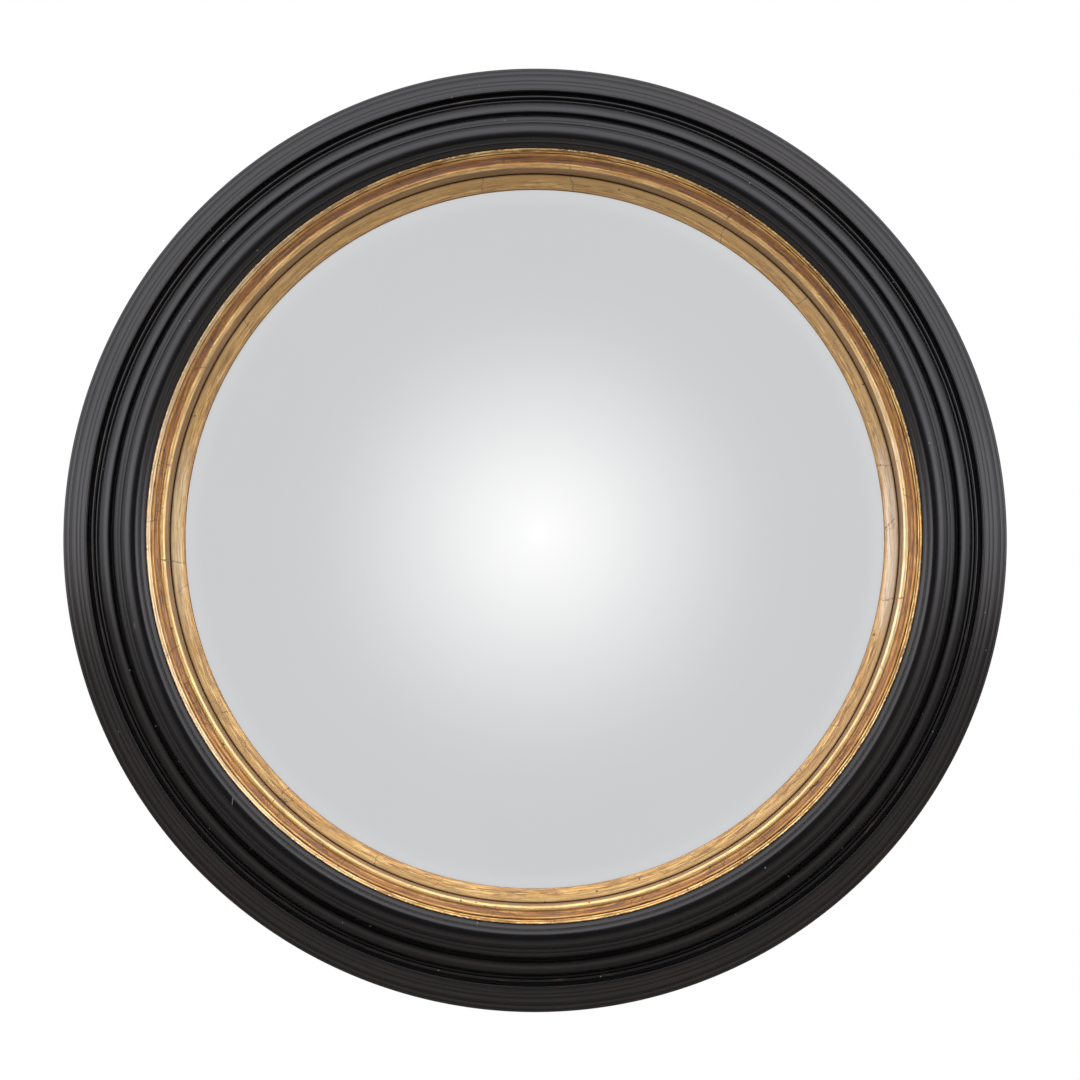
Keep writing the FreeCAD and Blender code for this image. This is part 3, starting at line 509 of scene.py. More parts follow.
def make_slip():
    m, n, b = material("gilded_slip")
    n.ring()
    col, broad, thread, h = gilding(n, 4.0)
    # pale along its middle: faintly rubbed leaf all round, mostly a painted highlight where the side lamps catch the
    # slip
    slip_rub_and_side_highlight = n.band(n.add(n.r, n.mul(n.sub(n.along(4.0, 0.05, 0.0, 8.0, detail=3.0, rough=0.6), 0.5), 3.0)), 277.8, 283.6, 2.4)
    pale = n.along(10.0, 0.75, 0.0, 19.0, detail=4.0, rough=0.7)
    # the painted highlight is confined to the two sides, left and right
    across = n.add(n.mul(n.mul(n.c, n.c), 0.10), n.mul(n.step(n.math("ABSOLUTE", n.c), 0.950, 0.998), 0.90))
    top = n.step(n.s, 0.15, 0.95)
    slip_rub_and_side_highlight = n.mul(slip_rub_and_side_highlight, n.add(0.03, n.mul(across, n.add(0.81, n.mul(n.c, 0.10)))))
    pale_col = n.mix(n.range(n.c, -1.0, 1.0, 0.0, 1.0), (0.98, 0.79, 0.50), (0.97, 0.84, 0.70))
    col = n.mix(n.mul(slip_rub_and_side_highlight, n.range(pale, 0.36, 0.60, 0.25, 1.0)), col, pale_col)
    lines = n.along(6.0, 1.15, 0.0, 56.0, detail=4.0, rough=0.72)
    col = n.mix(n.mul(n.step(lines, 0.51, 0.58), n.sub(0.48, n.mul(across, 0.24))), col, (0.270, 0.140, 0.056))
    # painted light: the top of the ring is lightened against the shade of the gilt wall above it
    col = n.mix(n.mul(top, 0.26), col, (1.0, 0.68, 0.32))
    # painted light: the outer half is lightened, most at the top, against the gilt wall's shade, and the inner edge is
    # darkened as painted shade
    rise = n.step(n.r, 279.5, 284.5)
    warm_pale = n.mix(across, (1.0, 0.68, 0.31), pale_col)
    col = n.mix(n.mul(rise, n.add(0.46, n.mul(top, 0.40))), col, warm_pale)
    col = n.mix(n.mul(n.step(n.r, 280.0, 276.0), n.sub(0.26, n.mul(top, 0.20))), col, (0.46, 0.30, 0.15))
    # painted highlight on the outer half of the slip at the right side
    col = n.mix(n.mul(n.step(n.c, 0.55, 0.95), n.mul(n.step(n.r, 281.0, 284.5), 0.35)), col, (0.93, 0.62, 0.30))
    # wandering fine scratches along the ring
    drift = n.mul(n.sub(n.along(5.0, 0.0, 0.0, 47.0, detail=3.0, rough=0.55), 0.5), 9.0)
    scratch = None
    for r0, a0, half in ((280.5, 10.0, 9.0), (278.2, 75.0, 14.0), (282.6, 120.0, 12.0), (279.2, 190.0, 10.0),
                         (281.4, 235.0, 13.0), (278.6, 262.0, 11.0), (282.8, 290.0, 12.0), (280.2, 335.0, 12.0)):
        away = n.math("ABSOLUTE", n.sub(n.math("MODULO", n.add(n.ang, 720.0 - a0 + 180.0), 360.0), 180.0))
        one = n.mul(n.step(n.math("ABSOLUTE", n.sub(n.add(n.r, drift), r0)), 0.26, 0.06), n.step(away, half, half - 2.0))
        scratch = one if scratch is None else n.math("MAXIMUM", scratch, one)
    scratch = n.mul(scratch, n.step(n.along(30.0, 0.2, 0.0, 37.0, detail=3.0, rough=0.6), 0.40, 0.52))
    # brown at both edges; near black in the gap under the gilt wall, a painted shade
    edge_w = n.mul(n.sub(n.along(40.0, 0.3, 0.0, 81.0, detail=4.0, rough=0.65), 0.5), 2.0)
    e1 = n.step(n.add(n.r, edge_w), 277.0, 275.7)
    e3 = n.step(n.add(n.r, edge_w), 283.9, 285.2)
    slip_gap_shade = n.band(n.r, 286.1, 288.2, 0.35)
    col = n.mix(n.mul(e1, 0.36), col, (0.36, 0.165, 0.055))
    # at the top the brown outer edge is left off, a painted lightening of the shaded top
    col = n.mix(n.mul(e3, n.sub(0.32, n.mul(top, 0.32))), col, (0.22, 0.115, 0.050))
    # painted shade: near black in the gap between the slip and the gilt wall
    col = n.mix(n.mul(slip_gap_shade, 0.97), col, (0.012, 0.009, 0.007))
    ch = n.mul(chips(n, 0.12, 5, 0.16, 0.12), n.step(n.r, 275.0, 277.0))
    # a cluster of pits at the lower left
    near = n.step(n.math("ABSOLUTE", n.add(n.ang, 133.6)), 1.1, 0.5)
    pits = n.mul(n.mul(near, n.step(n.r, 281.5, 283.5)), n.step(n.noise(n.vec(n.x, n.z, n.dep), 1.1, 3.0, 0.7), 0.47, 0.54))
    lap = lap_lines(n, 275.0, 286.0)
    dark = n.math("MAXIMUM", n.mul(ch, 0.9), n.mul(lap, 0.80))
    dark = n.math("MAXIMUM", dark, n.math("MAXIMUM", n.mul(scratch, 0.55), n.mul(pits, 0.9)))
    col = n.mix(dark, col, (0.050, 0.026, 0.015))
    n.put(b.inputs["Base Color"], col)
    metal = n.mul(0.55, n.one_minus(dark))
    metal = n.mul(metal, n.one_minus(slip_gap_shade))
    n.put(b.inputs["Metallic"], metal)
    n.put(b.inputs["Roughness"], n.add(0.34, n.mul(broad, 0.22)))
    h = n.add(h, n.mul(lines, 0.6))
    h = n.sub(h, n.mul(dark, 1.5))
    n.put(b.inputs["Normal"], n.bump(h, 0.55, 0.00012))
    return m


def make_mirror():
    m, n, b = material("mirror_glass")
    n.ring()
    # silvering: faint cloudiness, a trace of green at the thick edge
    cloud = n.noise(n.obj, 5.0, 4.0, 0.55)
    col = n.mix(n.range(cloud, 0.3, 0.7, 0.0, 1.0), (0.912, 0.913, 0.914), (0.926, 0.927, 0.928))
    col = n.mix(n.step(n.r, 272.0, 277.0), col, (0.86, 0.872, 0.868))
    # ground edge and painted back
    back = n.step(n.r, 289.5, 290.5)
    col = n.mix(back, col, (0.30, 0.42, 0.38))
    n.put(b.inputs["Base Color"], col)
    b.inputs["Metallic"].default_value = 1.0
    b.inputs["Roughness"].default_value = 0.0
    return m


def make_board():
    m, n, b = material("backing_board")
    n.ring()
    fibre = n.noise(n.vec(n.mul(n.x, 1.0), n.mul(n.z, 1.0), n.dep), 0.9, 6.0, 0.72)
    flake = n.noise(n.vec(n.mul(n.x, 0.25), n.mul(n.z, 0.9), n.dep), 1.0, 4.0, 0.65)
    cloud = n.noise(n.obj, 6.0, 3.0, 0.55)
    col = n.mix(n.step(fibre, 0.32, 0.70), (0.215, 0.128, 0.068), (0.330, 0.215, 0.125))
    col = n.mix(n.mul(n.step(flake, 0.55, 0.75), 0.5), col, (0.135, 0.074, 0.038))
    chip = n.noise(n.vec(n.mul(n.x, 0.10), n.mul(n.z, 0.32), n.mul(n.dep, 0.3)), 1.0, 5.0, 0.72, w=4.0)
    chip2 = n.noise(n.vec(n.mul(n.x, 0.34), n.mul(n.z, 0.12), n.mul(n.dep, 0.3)), 1.0, 5.0, 0.72, w=9.0)
    col = n.mix(n.mul(n.step(chip, 0.56, 0.64), 0.55), col, (0.110, 0.058, 0.028))
    col = n.mix(n.mul(n.step(chip2, 0.58, 0.65), 0.45), col, (0.420, 0.285, 0.165))
    stain = n.noise(n.obj, 3.2, 4.0, 0.50, w=2.0)
    col = n.mix(n.mul(n.step(stain, 0.46, 0.66), 0.30), col, (0.165, 0.100, 0.056))
    col = n.mix(n.range(cloud, 0.3, 0.7, 0.0, 0.30), col, (0.16, 0.10, 0.06))
    wander = n.noise(n.obj, 2.0, 2.0, 0.5, w=6.0)
    scrape = None
    for ax, az, off in ((0.92, 0.39, 41.0), (0.31, -0.95, 113.0), (0.71, 0.70, -152.0), (0.99, -0.12, -64.0)):
        run = n.add(n.add(n.mul(n.x, ax), n.mul(n.z, az)), n.mul(n.sub(wander, 0.5), 60.0))
        one = n.step(n.math("ABSOLUTE", n.sub(run, off)), 0.55, 0.15)
        scrape = one if scrape is None else n.math("MAXIMUM", scrape, one)
    scrape = n.mul(scrape, n.step(n.noise(n.obj, 7.0, 3.0, 0.6, w=8.0), 0.50, 0.56))
    col = n.mix(n.mul(scrape, 0.55), col, (0.46, 0.33, 0.21))
    col = n.mix(n.mul(n.step(n.r, 309.0, 316.0), 0.35), col, (0.13, 0.075, 0.04))
    n.put(b.inputs["Base Color"], col)
    n.put(b.inputs["Roughness"], n.add(0.42, n.mul(fibre, 0.30)))
    h = n.add(n.mul(fibre, 1.0), n.mul(flake, 0.5))
    h = n.sub(n.add(h, n.mul(chip, 0.8)), n.mul(scrape, 0.6))
    n.put(b.inputs["Normal"], n.bump(h, 0.45, 0.00012))
    return m


def make_metal(name, colour, tarnish, rough, scale):
    m, n, b = material(name)
    n.ring()
    cloud = n.noise(n.obj, 60.0 * scale, 4.0, 0.6)
    brushed = n.noise(n.vec(n.mul(n.x, 6.0), n.mul(n.z, 0.5), n.mul(n.dep, 6.0)), scale, 3.0, 0.6)
    pit = n.noise(n.obj, 900.0 * scale, 3.0, 0.6)
    col = n.mix(n.step(cloud, 0.38, 0.70), colour, tarnish)
    col = n.mix(n.mul(n.step(pit, 0.60, 0.75), 0.5), col, tuple(c * 0.4 for c in tarnish))
    n.put(b.inputs["Base Color"], col)
    b.inputs["Metallic"].default_value = 1.0
    n.put(b.inputs["Roughness"], n.add(rough, n.add(n.mul(cloud, 0.14), n.mul(brushed, 0.08))))
    h = n.add(n.mul(brushed, 0.6), n.mul(pit, 0.5))
    n.put(b.inputs["Normal"], n.bump(h, 0.35, 0.00004))
    return m


def make_rubber():
    m, n, b = material("bumper_rubber")
    n.ring()
    grain = n.noise(n.obj, 900.0, 3.0, 0.6)
    dust = n.noise(n.obj, 120.0, 4.0, 0.65)
    col = n.mix(n.step(dust, 0.45, 0.72), (0.028, 0.027, 0.026), (0.085, 0.080, 0.074))
    n.put(b.inputs["Base Color"], col)
    n.put(b.inputs["Roughness"], n.add(0.55, n.mul(grain, 0.25)))
    n.put(b.inputs["Normal"], n.bump(grain, 0.4, 0.00008))
    return m


def make_felt():
    m, n, b = material("felt")
    n.ring()
    fuzz = n.noise(n.obj, 1600.0, 4.0, 0.7)
    lay = n.along(60.0, 1.5, 1.5, 2.0, detail=4.0, rough=0.7)
    col = n.mix(n.step(fuzz, 0.35, 0.7), (0.030, 0.030, 0.032), (0.090, 0.088, 0.088))
    col = n.mix(n.mul(lay, 0.4), col, (0.05, 0.05, 0.05))
    n.put(b.inputs["Base Color"], col)
    b.inputs["Roughness"].default_value = 0.95
    b.inputs["Sheen Weight"].default_value = 0.35
    n.put(b.inputs["Normal"], n.bump(fuzz, 0.7, 0.0002))
    return m


def make_foam():
    m, n, b = material("foam")
    n.ring()
    cells = n.voronoi(n.obj, 1400.0)
    col = n.mix(n.step(cells.outputs["Distance"], 0.2, 0.6), (0.62, 0.61, 0.58), (0.40, 0.39, 0.36))
    n.put(b.inputs["Base Color"], col)
    b.inputs["Roughness"].default_value = 0.9
    n.put(b.inputs["Normal"], n.bump(cells.outputs["Distance"], 0.6, 0.0002))
    return m


def make_spacer():
    m, n, b = material("spacer_ply")
    n.ring()
    ply = n.math("SINE", n.mul(n.dep, 4.5))
    fibre = n.noise(n.vec(n.mul(n.x, 0.05), n.mul(n.z, 1.4), n.mul(n.dep, 1.2)), 1.0, 5.0, 0.65)
    col = n.mix(fibre, (0.46, 0.31, 0.17), (0.62, 0.45, 0.27))
    col = n.mix(n.mul(n.step(ply, 0.2, 0.8), 0.5), col, (0.30, 0.18, 0.09))
    n.put(b.inputs["Base Color"], col)
    n.put(b.inputs["Roughness"], n.add(0.55, n.mul(fibre, 0.2)))
    n.put(b.inputs["Normal"], n.bump(fibre, 0.4, 0.0001))
    return m


MAT = {
    "lacquer": make_lacquer(), "lacquer_wood": make_lacquer_wood(), "gilt": make_gilt(),
    "slip": make_slip(), "mirror": make_mirror(), "board": make_board(),
    "brass": make_metal("brass_screws", (0.72, 0.50, 0.20), (0.42, 0.27, 0.11), 0.26, 1.0),
    "zinc": make_metal("zinc_steel", (0.62, 0.63, 0.62), (0.42, 0.42, 0.39), 0.30, 1.0),
    "zinc_screw": make_metal("zinc_screws", (0.66, 0.66, 0.62), (0.40, 0.39, 0.33), 0.28, 1.4),
    "rubber": make_rubber(), "felt": make_felt(), "foam": make_foam(), "spacer": make_spacer(),
}

# ------------------------------------------------------------------ sections of the turned rings
# (radius, depth off the wall, radius of the curve to the next corner), mm; the same
# lists as in the CAD model
SECTIONS = {
    "front": [
        (298.0, 28.0, 0), (298.0, 38.0, 0), (293.0, 38.0, 0), (293.0, 46.0, 0), (300.1, 46.0, 0),
        (300.1, 63.4, 6.5), (303.6, 66.8, 0), (304.1, 66.9, 4.9), (308.3, 70.7, 13.0), (316.0, 69.3, 16.0),
        (318.9, 65.0, 0), (319.7, 63.2, 0), (320.1, 63.5, 4.6), (323.0, 59.9, 0), (323.3, 59.1, 5.8),
        (326.9, 54.2, 0), (329.1, 46.8, 0), (330.4, 44.9, 0), (331.6, 45.6, 0), (332.4, 46.8, 8.0), (338.0, 44.5, 23.0),
        (344.6, 31.8, 0), (344.8, 31.3, 0), (346.2, 31.0, 0), (346.5, 32.2, 1.45), (349.2, 32.2, 0),
        (349.3, 28.0, 0)],
    "back": [
        (316.0, 7.0, 0), (316.0, 12.0, 0), (298.0, 12.0, 0), (298.0, 28.0, 0), (351.9, 28.0, 0),
        (352.0, 32.6, 1.25), (354.4, 32.5, 0), (354.9, 31.3, 0), (355.5, 31.0, 5.0), (359.1, 28.9, 0),
        (359.3, 28.6, 4.8), (362.6, 26.3, 0), (362.9, 25.9, 9.0), (369.3, 19.9, 0), (369.7, 19.6, 5.5),
        (373.2, 16.7, 0), (373.6, 16.6, 1.45), (375.0, 15.0, 0), (375.0, 8.4, 0), (373.6, 7.0, 0)],
    "gilt": [
        (286.4, 38.1, 0), (286.4, 57.5, 2.7), (290.8, 58.2, -4.6), (294.4, 60.6, 1.6), (296.5, 61.8, 0),
        (296.8, 61.4, 1.6), (298.3, 63.0, 1.35), (300.0, 64.1, 0), (300.0, 46.0, 0), (292.9, 46.0, 0),
        (292.9, 38.1, 0)],
    "slip": [
        (275.3, 33.2, 0), (275.3, 34.6, 0.9), (276.2, 35.5, 26.0), (285.5, 37.5, 0), (286.0, 36.9, 0),
        (287.4, 36.9, 0), (288.0, 37.95, 0), (297.8, 37.95, 0), (297.8, 33.2, 0)],
    "glass": [
        (0.0, 66.8, 1000.0), (254.136, 33.97, -60.0), (269.384, 32.0, 0), (291.0, 32.0, 0),
        (291.0, 28.0, 0), (269.384, 28.0, 64.0), (253.119, 30.099, -996.0), (0.0, 62.8, 0)],
}


def dense(points, gap):
    out = []
    for i, (r, d, arc) in enumerate(points):
        p = np.array([r, d], float)
        q = np.array(points[(i + 1) % len(points)][:2], float)
        length = np.linalg.norm(q - p)
        if not arc:
            k = max(1, int(round(length / gap)))
            out += [p + (q - p) * t / k for t in range(k)]
            continue
        rad, half = abs(arc), length / 2
        rise = math.sqrt(max(rad * rad - half * half, 0.0))
        left = np.array([-(q - p)[1], (q - p)[0]]) / length
        c = (p + q) / 2 + (-left if arc > 0 else left) * rise
        a0, a1 = math.atan2(*(p - c)[::-1]), math.atan2(*(q - c)[::-1])
        if arc > 0 and a1 > a0:
            a1 -= 2 * math.pi
        if arc < 0 and a1 < a0:
            a1 += 2 * math.pi
        k = max(2, int(round(rad * abs(a1 - a0) / gap)))
        out += [c + rad * np.array([math.cos(a0 + (a1 - a0) * t / k), math.sin(a0 + (a1 - a0) * t / k)])
                for t in range(k)]
    return np.array(out)


def thin(points, tol, longest):
    """Fewest points of a closed line that stay within tol of it (Douglas-Peucker)."""
    n = len(points)
    far = int(np.argmax(((points - points[0]) ** 2).sum(1)))
    keep = {0, far}

    def split(a, b):
        if b - a < 2:
            return
        p, q = points[a % n], points[b % n]
        seg = np.array([points[i % n] for i in range(a + 1, b)])
        d = q - p
        length = np.linalg.norm(d)
        if length < 1e-9:
            off = np.linalg.norm(seg - p, axis=1)
        else:
            off = np.abs((seg - p) @ np.array([-d[1], d[0]]) / length)
        i = int(off.argmax())
        if off[i] > tol or length > longest:
            m = a + 1 + i if off[i] > tol else (a + b) // 2
            keep.add(m % n)
            split(a, m)
            split(m, b)

    split(0, far)
    split(far, n)
    return points[sorted(keep)]


def soft_section(points, soft=0.16, tol=0.010, longest=1.6):
    """The section with its corners eased as lacquer and sanding ease them"""
    gap = 0.04
    d = dense(points, gap)
    n = len(d)
    sig = soft / gap
    k = int(4 * sig)
    w = np.exp(-0.5 * (np.arange(-k, k + 1) / sig) ** 2)
    w /= w.sum()
    pad = np.concatenate([d[-k:], d, d[:k]])
    s = np.stack([np.convolve(pad[:, j], w, "valid") for j in (0, 1)], 1)[:n]
    return thin(s, tol, longest)


def wave(theta, s, terms):
    """Slow waviness round the ring, in mm: terms are (cycles, amplitude, phase, drift)."""
    out = np.zeros(np.broadcast(theta, s).shape)
    for cycles, amp, phase, drift in terms:
        out = out + amp * np.sin(cycles * theta + phase + drift * s)
    return out


def turn(name, section, lo_deg, hi_deg, steps, shift=None, closed=False):
    """A closed mesh turned from a section between two clock angles; the whole way round
    it has no ends. shift(theta, r, d) gives small changes of (r, d)."""
    m = len(section)
    count = steps if closed else steps + 1
    th = np.radians(lo_deg + (hi_deg - lo_deg) * np.arange(count) / steps)
    r = np.repeat(section[None, :, 0], count, 0)
    d = np.repeat(section[None, :, 1], count, 0)
    if shift is not None:
        dr, dd = shift(th[:, None], r, d)
        r, d = r + dr, d + dd
    co = np.stack([r * np.cos(th)[:, None], -d, r * np.sin(th)[:, None]], -1).reshape(-1, 3) * MM
    faces = []
    rows = steps if closed else steps
    j = np.arange(m)
    jn = (j + 1) % m
    for i in range(rows):
        a, bb = i * m, ((i + 1) % count) * m
        faces.append(np.stack([a + j, a + jn, bb + jn, bb + j], 1))
    quads = np.concatenate(faces)
    mesh = bpy.data.meshes.new(name)
    polys = quads.tolist()
    caps = 0
    if not closed:
        polys.append(list(range(m))[::-1])
        polys.append([steps * m + q for q in range(m)])
        caps = 2
    mesh.from_pydata(co.tolist(), [], polys)
    smooth = np.ones(len(polys), bool)
    if caps:
        smooth[-caps:] = False
    mesh.polygons.foreach_set("use_smooth", smooth)
    mesh.update()
    if caps:
        # the flat ends must not bend the light on the moulding beside them
        ev = np.zeros(len(mesh.edges) * 2, np.int32)
        mesh.edges.foreach_get("vertices", ev)
        ev = ev.reshape(-1, 2)
        sharp = (ev.max(1) < m) | (ev.min(1) >= steps * m)
        mesh.attributes.new("sharp_edge", "BOOLEAN", "EDGE").data.foreach_set("value", sharp)
    # faces must look outwards
    vol = signed_volume(mesh)
    if vol < 0:
        mesh.flip_normals()
    ob = bpy.data.objects.new(name, mesh)
    scene.collection.objects.link(ob)
    return ob


def signed_volume(mesh):
    mesh.calc_loop_triangles()
    n = len(mesh.loop_triangles)
    tri = np.zeros(n * 3, np.int32)
    mesh.loop_triangles.foreach_get("vertices", tri)
    co = np.zeros(len(mesh.vertices) * 3)
    mesh.vertices.foreach_get("co", co)
    co = co.reshape(-1, 3)
    t = tri.reshape(-1, 3)
    return float(np.einsum("ij,ij->i", co[t[:, 0]], np.cross(co[t[:, 1]], co[t[:, 2]])).sum() / 6)


def finish_piece(ob, mat, body, slot, *nodes):
    ob.data.materials.clear()
    ob.data.materials.append(mat)
    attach(ob, body)
    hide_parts(*nodes)
    return ob


# ------------------------------------------------------------------ turned pieces
def lacquer_shift(th, r, d):
    """Hand sanding leaves the mouldings very slightly uneven; rear and bore stay true."""
    free = np.clip((d - 29.0) / 6.0, 0, 1) * np.clip((r - 301.0) / 3.0, 0, 1)
    free = np.where(r > 351, np.clip((d - 15.5) / 5.0, 0, 1) * np.clip((374.0 - r) / 2.0, 0, 1), free)
    w = wave(th, r, [(5, 0.030, 0.4, 0.05), (11, 0.022, 1.9, -0.11), (23, 0.012, 2.7, 0.23),
                     (41, 0.007, 0.2, -0.31)])
    return -0.6 * np.abs(w) * free, -(w + 0.06) * free


def gilt_shift(th, r, d):
    top = np.clip((d - 56.0) / 1.5, 0, 1) * np.clip((299.9 - r) / 0.8, 0, 1)
    w = wave(th, r, [(17, 0.05, 0.8, 0.5), (37, 0.045, 2.2, -0.9), (71, 0.040, 1.1, 1.3),
                     (113, 0.030, 5.0, -1.7), (167, 0.020, 3.3, 2.3)])
    return 0.0 * r, -(np.abs(w) * 0.9) * top


def slip_shift(th, r, d):
    top = np.clip((d - 34.0) / 0.8, 0, 1) * np.clip((285.8 - r) / 0.8, 0, 1)
    w = wave(th, r, [(13, 0.040, 0.1, 0.4), (29, 0.030, 1.2, -0.7), (61, 0.022, 4.1, 1.1)])
    return 0.0 * r, -(np.abs(w)) * top


sec_front = soft_section(SECTIONS["front"])
sec_back = soft_section(SECTIONS["back"])
for k in range(8):
    ob = turn("front_ring_segment_%d" % (k + 1), sec_front, 45.0 * k, 45.0 * (k + 1), 120, lacquer_shift)
    finish_piece(ob, MAT["lacquer"], "mirror", "black_lacquer", "frame_front_segment_%d" % (k + 1))
for k in range(8):
    ob = turn("rear_ring_segment_%d" % (k + 1), sec_back, 45.0 * k - 22.5, 45.0 * k + 22.5, 120, lacquer_shift)
    finish_piece(ob, MAT["lacquer_wood"], "mirror", "black_lacquer", "frame_back_segment_%d" % (k + 1))

ob = turn("gilded_moulding", soft_section(SECTIONS["gilt"], 0.12, 0.008, 0.9), 0, 360, 960, gilt_shift, True)
finish_piece(ob, MAT["gilt"], "mirror", "gilding", "gilt_moulding")
ob = turn("gilded_slip", soft_section(SECTIONS["slip"], 0.12, 0.008, 0.9), 0, 360, 960, slip_shift, True)
finish_piece(ob, MAT["slip"], "mirror", "gilding", "gilt_slip")


def dome_glass():
    """Silvered glass, turned from its section, closed at both poles"""
    gap = 0.5
    d = dense(SECTIONS["glass"][:-1] + [SECTIONS["glass"][-1]], gap)
    # from the front pole outwards and back to the rear pole
    line = d[: int(np.argmin(np.abs(d[:, 0]) + (d[:, 1] > 64) * 1e3)) + 1]
    keep = [0]
    for i in range(1, len(line) - 1):
        r = line[i, 0]
        want = 0.7 if r > 250 else 4.0
        if np.linalg.norm(line[i] - line[keep[-1]]) >= want - 1e-6:
            keep.append(i)
        elif min(np.linalg.norm(line[i] - np.array(c[:2])) for c in SECTIONS["glass"][2:6]) < gap * 0.3:
            keep.append(i)
    line = line[keep + [len(line) - 1]]
    line[0, 0] = 0.0
    line[-1, 0] = 0.0
    n, m = 360, len(line)
    th = np.radians(np.arange(n) * 360.0 / n)
    inner = line[1:-1]
    co = np.stack([inner[None, :, 0] * np.cos(th)[:, None], -np.repeat(inner[None, :, 1], n, 0),
                   inner[None, :, 0] * np.sin(th)[:, None]], -1).reshape(-1, 3) * MM
    k = len(inner)
    verts = co.tolist() + [[0, -line[0, 1] * MM, 0], [0, -line[-1, 1] * MM, 0]]
    top, bot = n * k, n * k + 1
    faces = []
    for i in range(n):
        a, b2 = i * k, ((i + 1) % n) * k
        faces.append([top, a, b2])
        for j in range(k - 1):
            faces.append([a + j, a + j + 1, b2 + j + 1, b2 + j])
        faces.append([a + k - 1, bot, b2 + k - 1])
    mesh = bpy.data.meshes.new("mirror_glass_dome")
    mesh.from_pydata(verts, [], faces)
    mesh.polygons.foreach_set("use_smooth", np.ones(len(faces), bool))
    mesh.update()
    if signed_volume(mesh) < 0:
        mesh.flip_normals()
    # crisp arrises at the ground edge
    mesh.set_sharp_from_angle(angle=math.radians(40))
    ob = bpy.data.objects.new("mirror_glass_dome", mesh)
    scene.collection.objects.link(ob)
    return ob


finish_piece(dome_glass(), MAT["mirror"], "mirror", "mirror_glass", "mirror_glass")

# ------------------------------------------------------------------ nodes that stay as they are
KEPT = {
    "glass_felt_strip": "felt", "glass_foam_strip": "foam", "glass_spacer_ring": "spacer",
    "backing_board": "board", "backing_screws": "brass",
    "hanger_strap_left": "zinc", "hanger_strap_right": "zinc", "d_ring_left": "zinc",
    "d_ring_right": "zinc", "hanger_screws_left": "zinc_screw", "hanger_screws_right": "zinc_screw",
    "wall_bumper_upper_right": "rubber", "wall_bumper_upper_left": "rubber",
    "wall_bumper_lower_left": "rubber", "wall_bumper_lower_right": "rubber",
}
for node, key in KEPT.items():
    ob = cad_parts[node]
    for s in ob.material_slots:
        s.link = "OBJECT"
        s.material = MAT[key]

# ------------------------------------------------------------------ stage: floor, reflector, light
def disc(name, radius, place, facing, rings=24, sides=128):
    verts, faces = [(0, 0, 0)], []
    for i in range(1, rings + 1):
        for j in range(sides):
            a = 2 * math.pi * j / sides
            verts.append((radius * i / rings * math.cos(a), radius * i / rings * math.sin(a), 0))
    for j in range(sides):
        faces.append((0, 1 + j, 1 + (j + 1) % sides))
    for i in range(1, rings):
        for j in range(sides):
            a, b2 = 1 + (i - 1) * sides + j, 1 + (i - 1) * sides + (j + 1) % sides
            faces.append((a, a + sides, b2 + sides, b2))
    mesh = bpy.data.meshes.new(name)
    mesh.from_pydata(verts, [], faces)
    mesh.update()
    ob = bpy.data.objects.new(name, mesh)
    scene.collection.objects.link(ob)
    ob.rotation_mode = "QUATERNION"
    ob.rotation_quaternion = Vector(facing).to_track_quat("Z", "Y")
    ob.location = place
    return ob


floor = disc("floor", 1.75, (0, 0, -0.75), (0, 0, 1))
m, n, b = material("pale_floor")
tc = n.nodes.new("ShaderNodeTexCoord")
sep = n.nodes.new("ShaderNodeSeparateXYZ")
n.links.new(tc.outputs["Object"], sep.inputs[0])
rr = n.math("SQRT", n.add(n.mul(sep.outputs[0], sep.outputs[0]), n.mul(sep.outputs[1], sep.outputs[1])))
n.put(b.inputs["Base Color"], n.mix(n.noise(tc.outputs["Object"], 6.0, 3.0, 0.5), (0.80, 0.80, 0.79), (0.84, 0.84, 0.83)))
b.inputs["Roughness"].default_value = 0.8
clear = n.nodes.new("ShaderNodeBsdfTransparent")
mixer = n.nodes.new("ShaderNodeMixShader")
n.put(mixer.inputs[0], n.step(rr, 0.9, 1.7))
n.links.new(b.outputs[0], mixer.inputs[1])
n.links.new(clear.outputs[0], mixer.inputs[2])
n.links.new(mixer.outputs[0], n.nodes["Material Output"].inputs[0])
floor.data.materials.append(m)
floor.visible_glossy = False

# A round reflector card stands in front of the mirror, out of the camera's sight: it is
# what the glass shows, a soft pale glow that falls off to plain grey.
CARD_Y = -0.37
card = disc("reflector_card", 2.2, (0, CARD_Y, 0), (0, 1, 0), rings=4)
m = bpy.data.materials.new("reflector_card")
m.use_nodes = True
n = Net(m.node_tree)
n.nodes.clear()
out = n.nodes.new("ShaderNodeOutputMaterial")
geo = n.nodes.new("ShaderNodeNewGeometry")
sep = n.nodes.new("ShaderNodeSeparateXYZ")
n.links.new(geo.outputs["Position"], sep.inputs[0])
gx, gz = n.sub(sep.outputs[0], 0.0017), n.sub(sep.outputs[2], 0.0265)
rad = n.math("SQRT", n.add(n.mul(gx, gx), n.mul(gz, gz)))
ramp = n.nodes.new("ShaderNodeValToRGB")
n.links.new(n.math("DIVIDE", rad, 0.5), ramp.inputs[0])
GREY = 0.655
els = ramp.color_ramp.elements
els[0].position, els[0].color = 0.0, (1.09, 1.09, 1.09, 1)
els[1].position, els[1].color = 0.86, (GREY, GREY * 1.009, GREY * 1.023, 1)
for pos, v, blue in ((0.056, 1.045, 1.0), (0.182, 0.967, 1.002), (0.294, 0.879, 1.012), (0.406, 0.804, 1.018),
                     (0.518, 0.735, 1.020), (0.63, 0.687, 1.022), (0.742, 0.664, 1.023)):
    e = els.new(pos)
    e.color = (v, v * (1 + (blue - 1) * 0.4), v * blue, 1)
emit = n.nodes.new("ShaderNodeEmission")
n.links.new(ramp.outputs[0], emit.inputs[0])
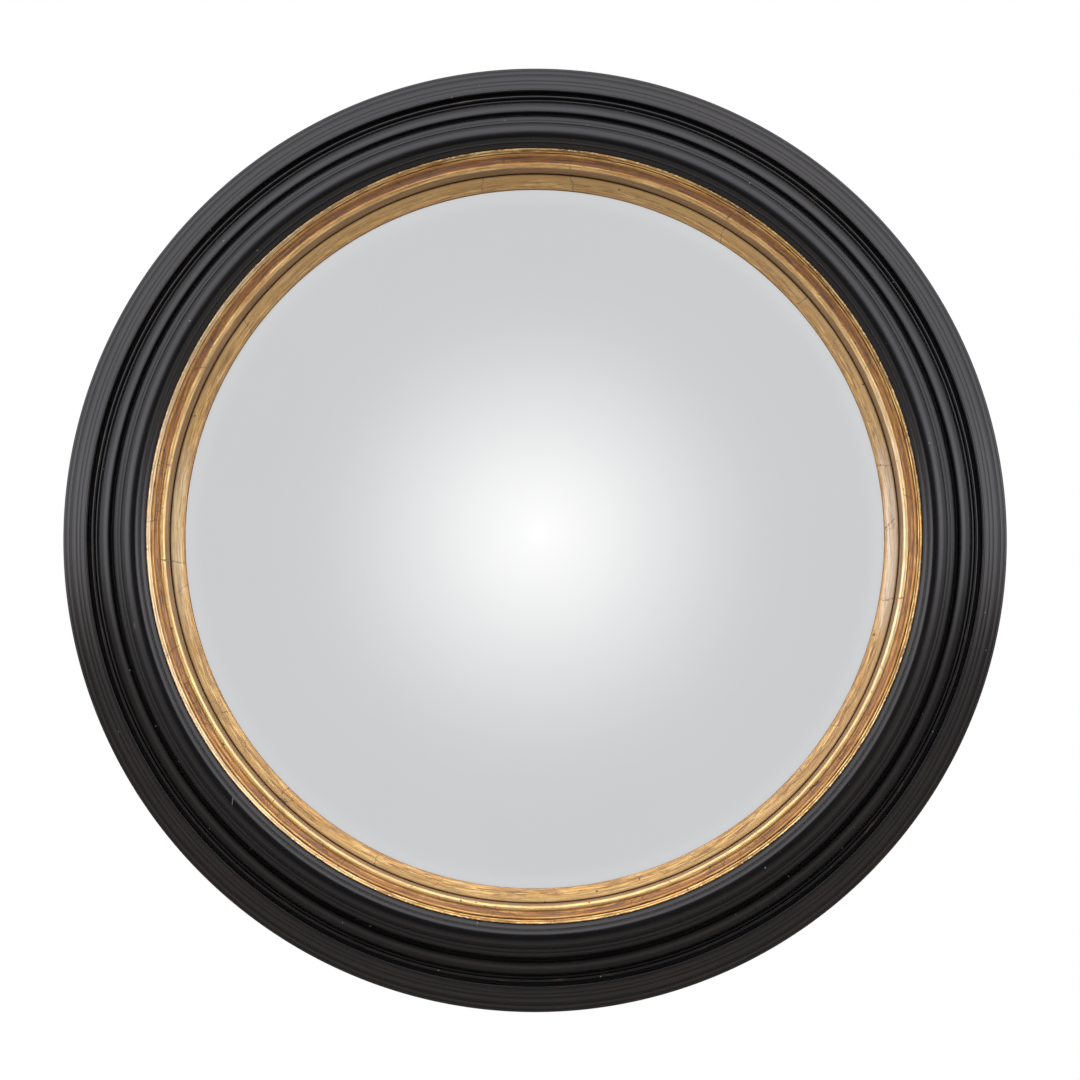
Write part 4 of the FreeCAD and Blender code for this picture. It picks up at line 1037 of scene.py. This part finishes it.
clear = n.nodes.new("ShaderNodeBsdfTransparent")
mixer = n.nodes.new("ShaderNodeMixShader")
lp = n.nodes.new("ShaderNodeLightPath")
n.links.new(lp.outputs["Is Singular Ray"], mixer.inputs[0])
n.links.new(clear.outputs[0], mixer.inputs[1])
n.links.new(emit.outputs[0], mixer.inputs[2])
n.links.new(mixer.outputs[0], out.inputs[0])
card.data.materials.append(m)
card.visible_camera = False
card.visible_diffuse = False
card.visible_shadow = False
card.visible_transmission = False
m.cycles.emission_sampling = "NONE"

world = bpy.data.worlds.new("studio")
scene.world = world
world.use_nodes = True
n = Net(world.node_tree)
n.nodes.clear()
out = n.nodes.new("ShaderNodeOutputWorld")
tc = n.nodes.new("ShaderNodeTexCoord")
sep = n.nodes.new("ShaderNodeSeparateXYZ")
n.links.new(tc.outputs["Generated"], sep.inputs[0])
dx, dy, dz = sep.outputs
# broad soft light from above and from both sides, weaker below, and a dark space round
# the camera; it falls off again towards the wall, and rises once more well behind it
facing = n.mul(dy, -1.0)                                  # 1 towards the camera
upper = n.step(dz, -0.14, 0.08)
light = n.lerp(upper, 0.43, 2.25)
side = n.mul(n.band(n.math("ABSOLUTE", dx), 0.55, 0.90, 0.16), n.band(dz, 0.02, 0.16, 0.16))
light = n.add(light, n.mul(side, 0.9))
low = n.mul(n.one_minus(upper), n.band(facing, 0.30, 0.60, 0.12))
light = n.add(light, n.mul(low, 0.16))
near = n.step(facing, math.cos(math.radians(17)), math.cos(math.radians(38)))
light = n.mul(light, near)
far = n.step(facing, math.cos(math.radians(56)), math.cos(math.radians(120)))
light = n.mul(light, n.lerp(far, 1.0, 0.16))
flank = n.mul(n.step(n.math("ABSOLUTE", dx), 0.90, 0.985), n.step(n.math("ABSOLUTE", dz), 0.35, 0.10))
light = n.mul(light, n.lerp(flank, 1.0, 0.84))
light = n.add(light, 0.07)
light = n.add(light, n.mul(n.step(dy, 0.72, 0.95), 0.9))
warm = n.mix(upper, (1.0, 0.93, 0.86), (1.0, 1.0, 1.03))
bg = n.nodes.new("ShaderNodeBackground")
n.put(bg.inputs[0], warm)
n.put(bg.inputs[1], light)
white = n.nodes.new("ShaderNodeBackground")
white.inputs[0].default_value = (1, 1, 1, 1)
white.inputs[1].default_value = 1.0
plain = n.nodes.new("ShaderNodeBackground")
plain.inputs[0].default_value = (GREY, GREY * 1.009, GREY * 1.023, 1)
plain.inputs[1].default_value = 1.0
lp = n.nodes.new("ShaderNodeLightPath")
m1 = n.nodes.new("ShaderNodeMixShader")
n.links.new(lp.outputs["Is Singular Ray"], m1.inputs[0])
n.links.new(bg.outputs[0], m1.inputs[1])
n.links.new(plain.outputs[0], m1.inputs[2])
m2 = n.nodes.new("ShaderNodeMixShader")
n.links.new(lp.outputs["Is Camera Ray"], m2.inputs[0])
n.links.new(m1.outputs[0], m2.inputs[1])
n.links.new(white.outputs[0], m2.inputs[2])
n.links.new(m2.outputs[0], out.inputs[0])
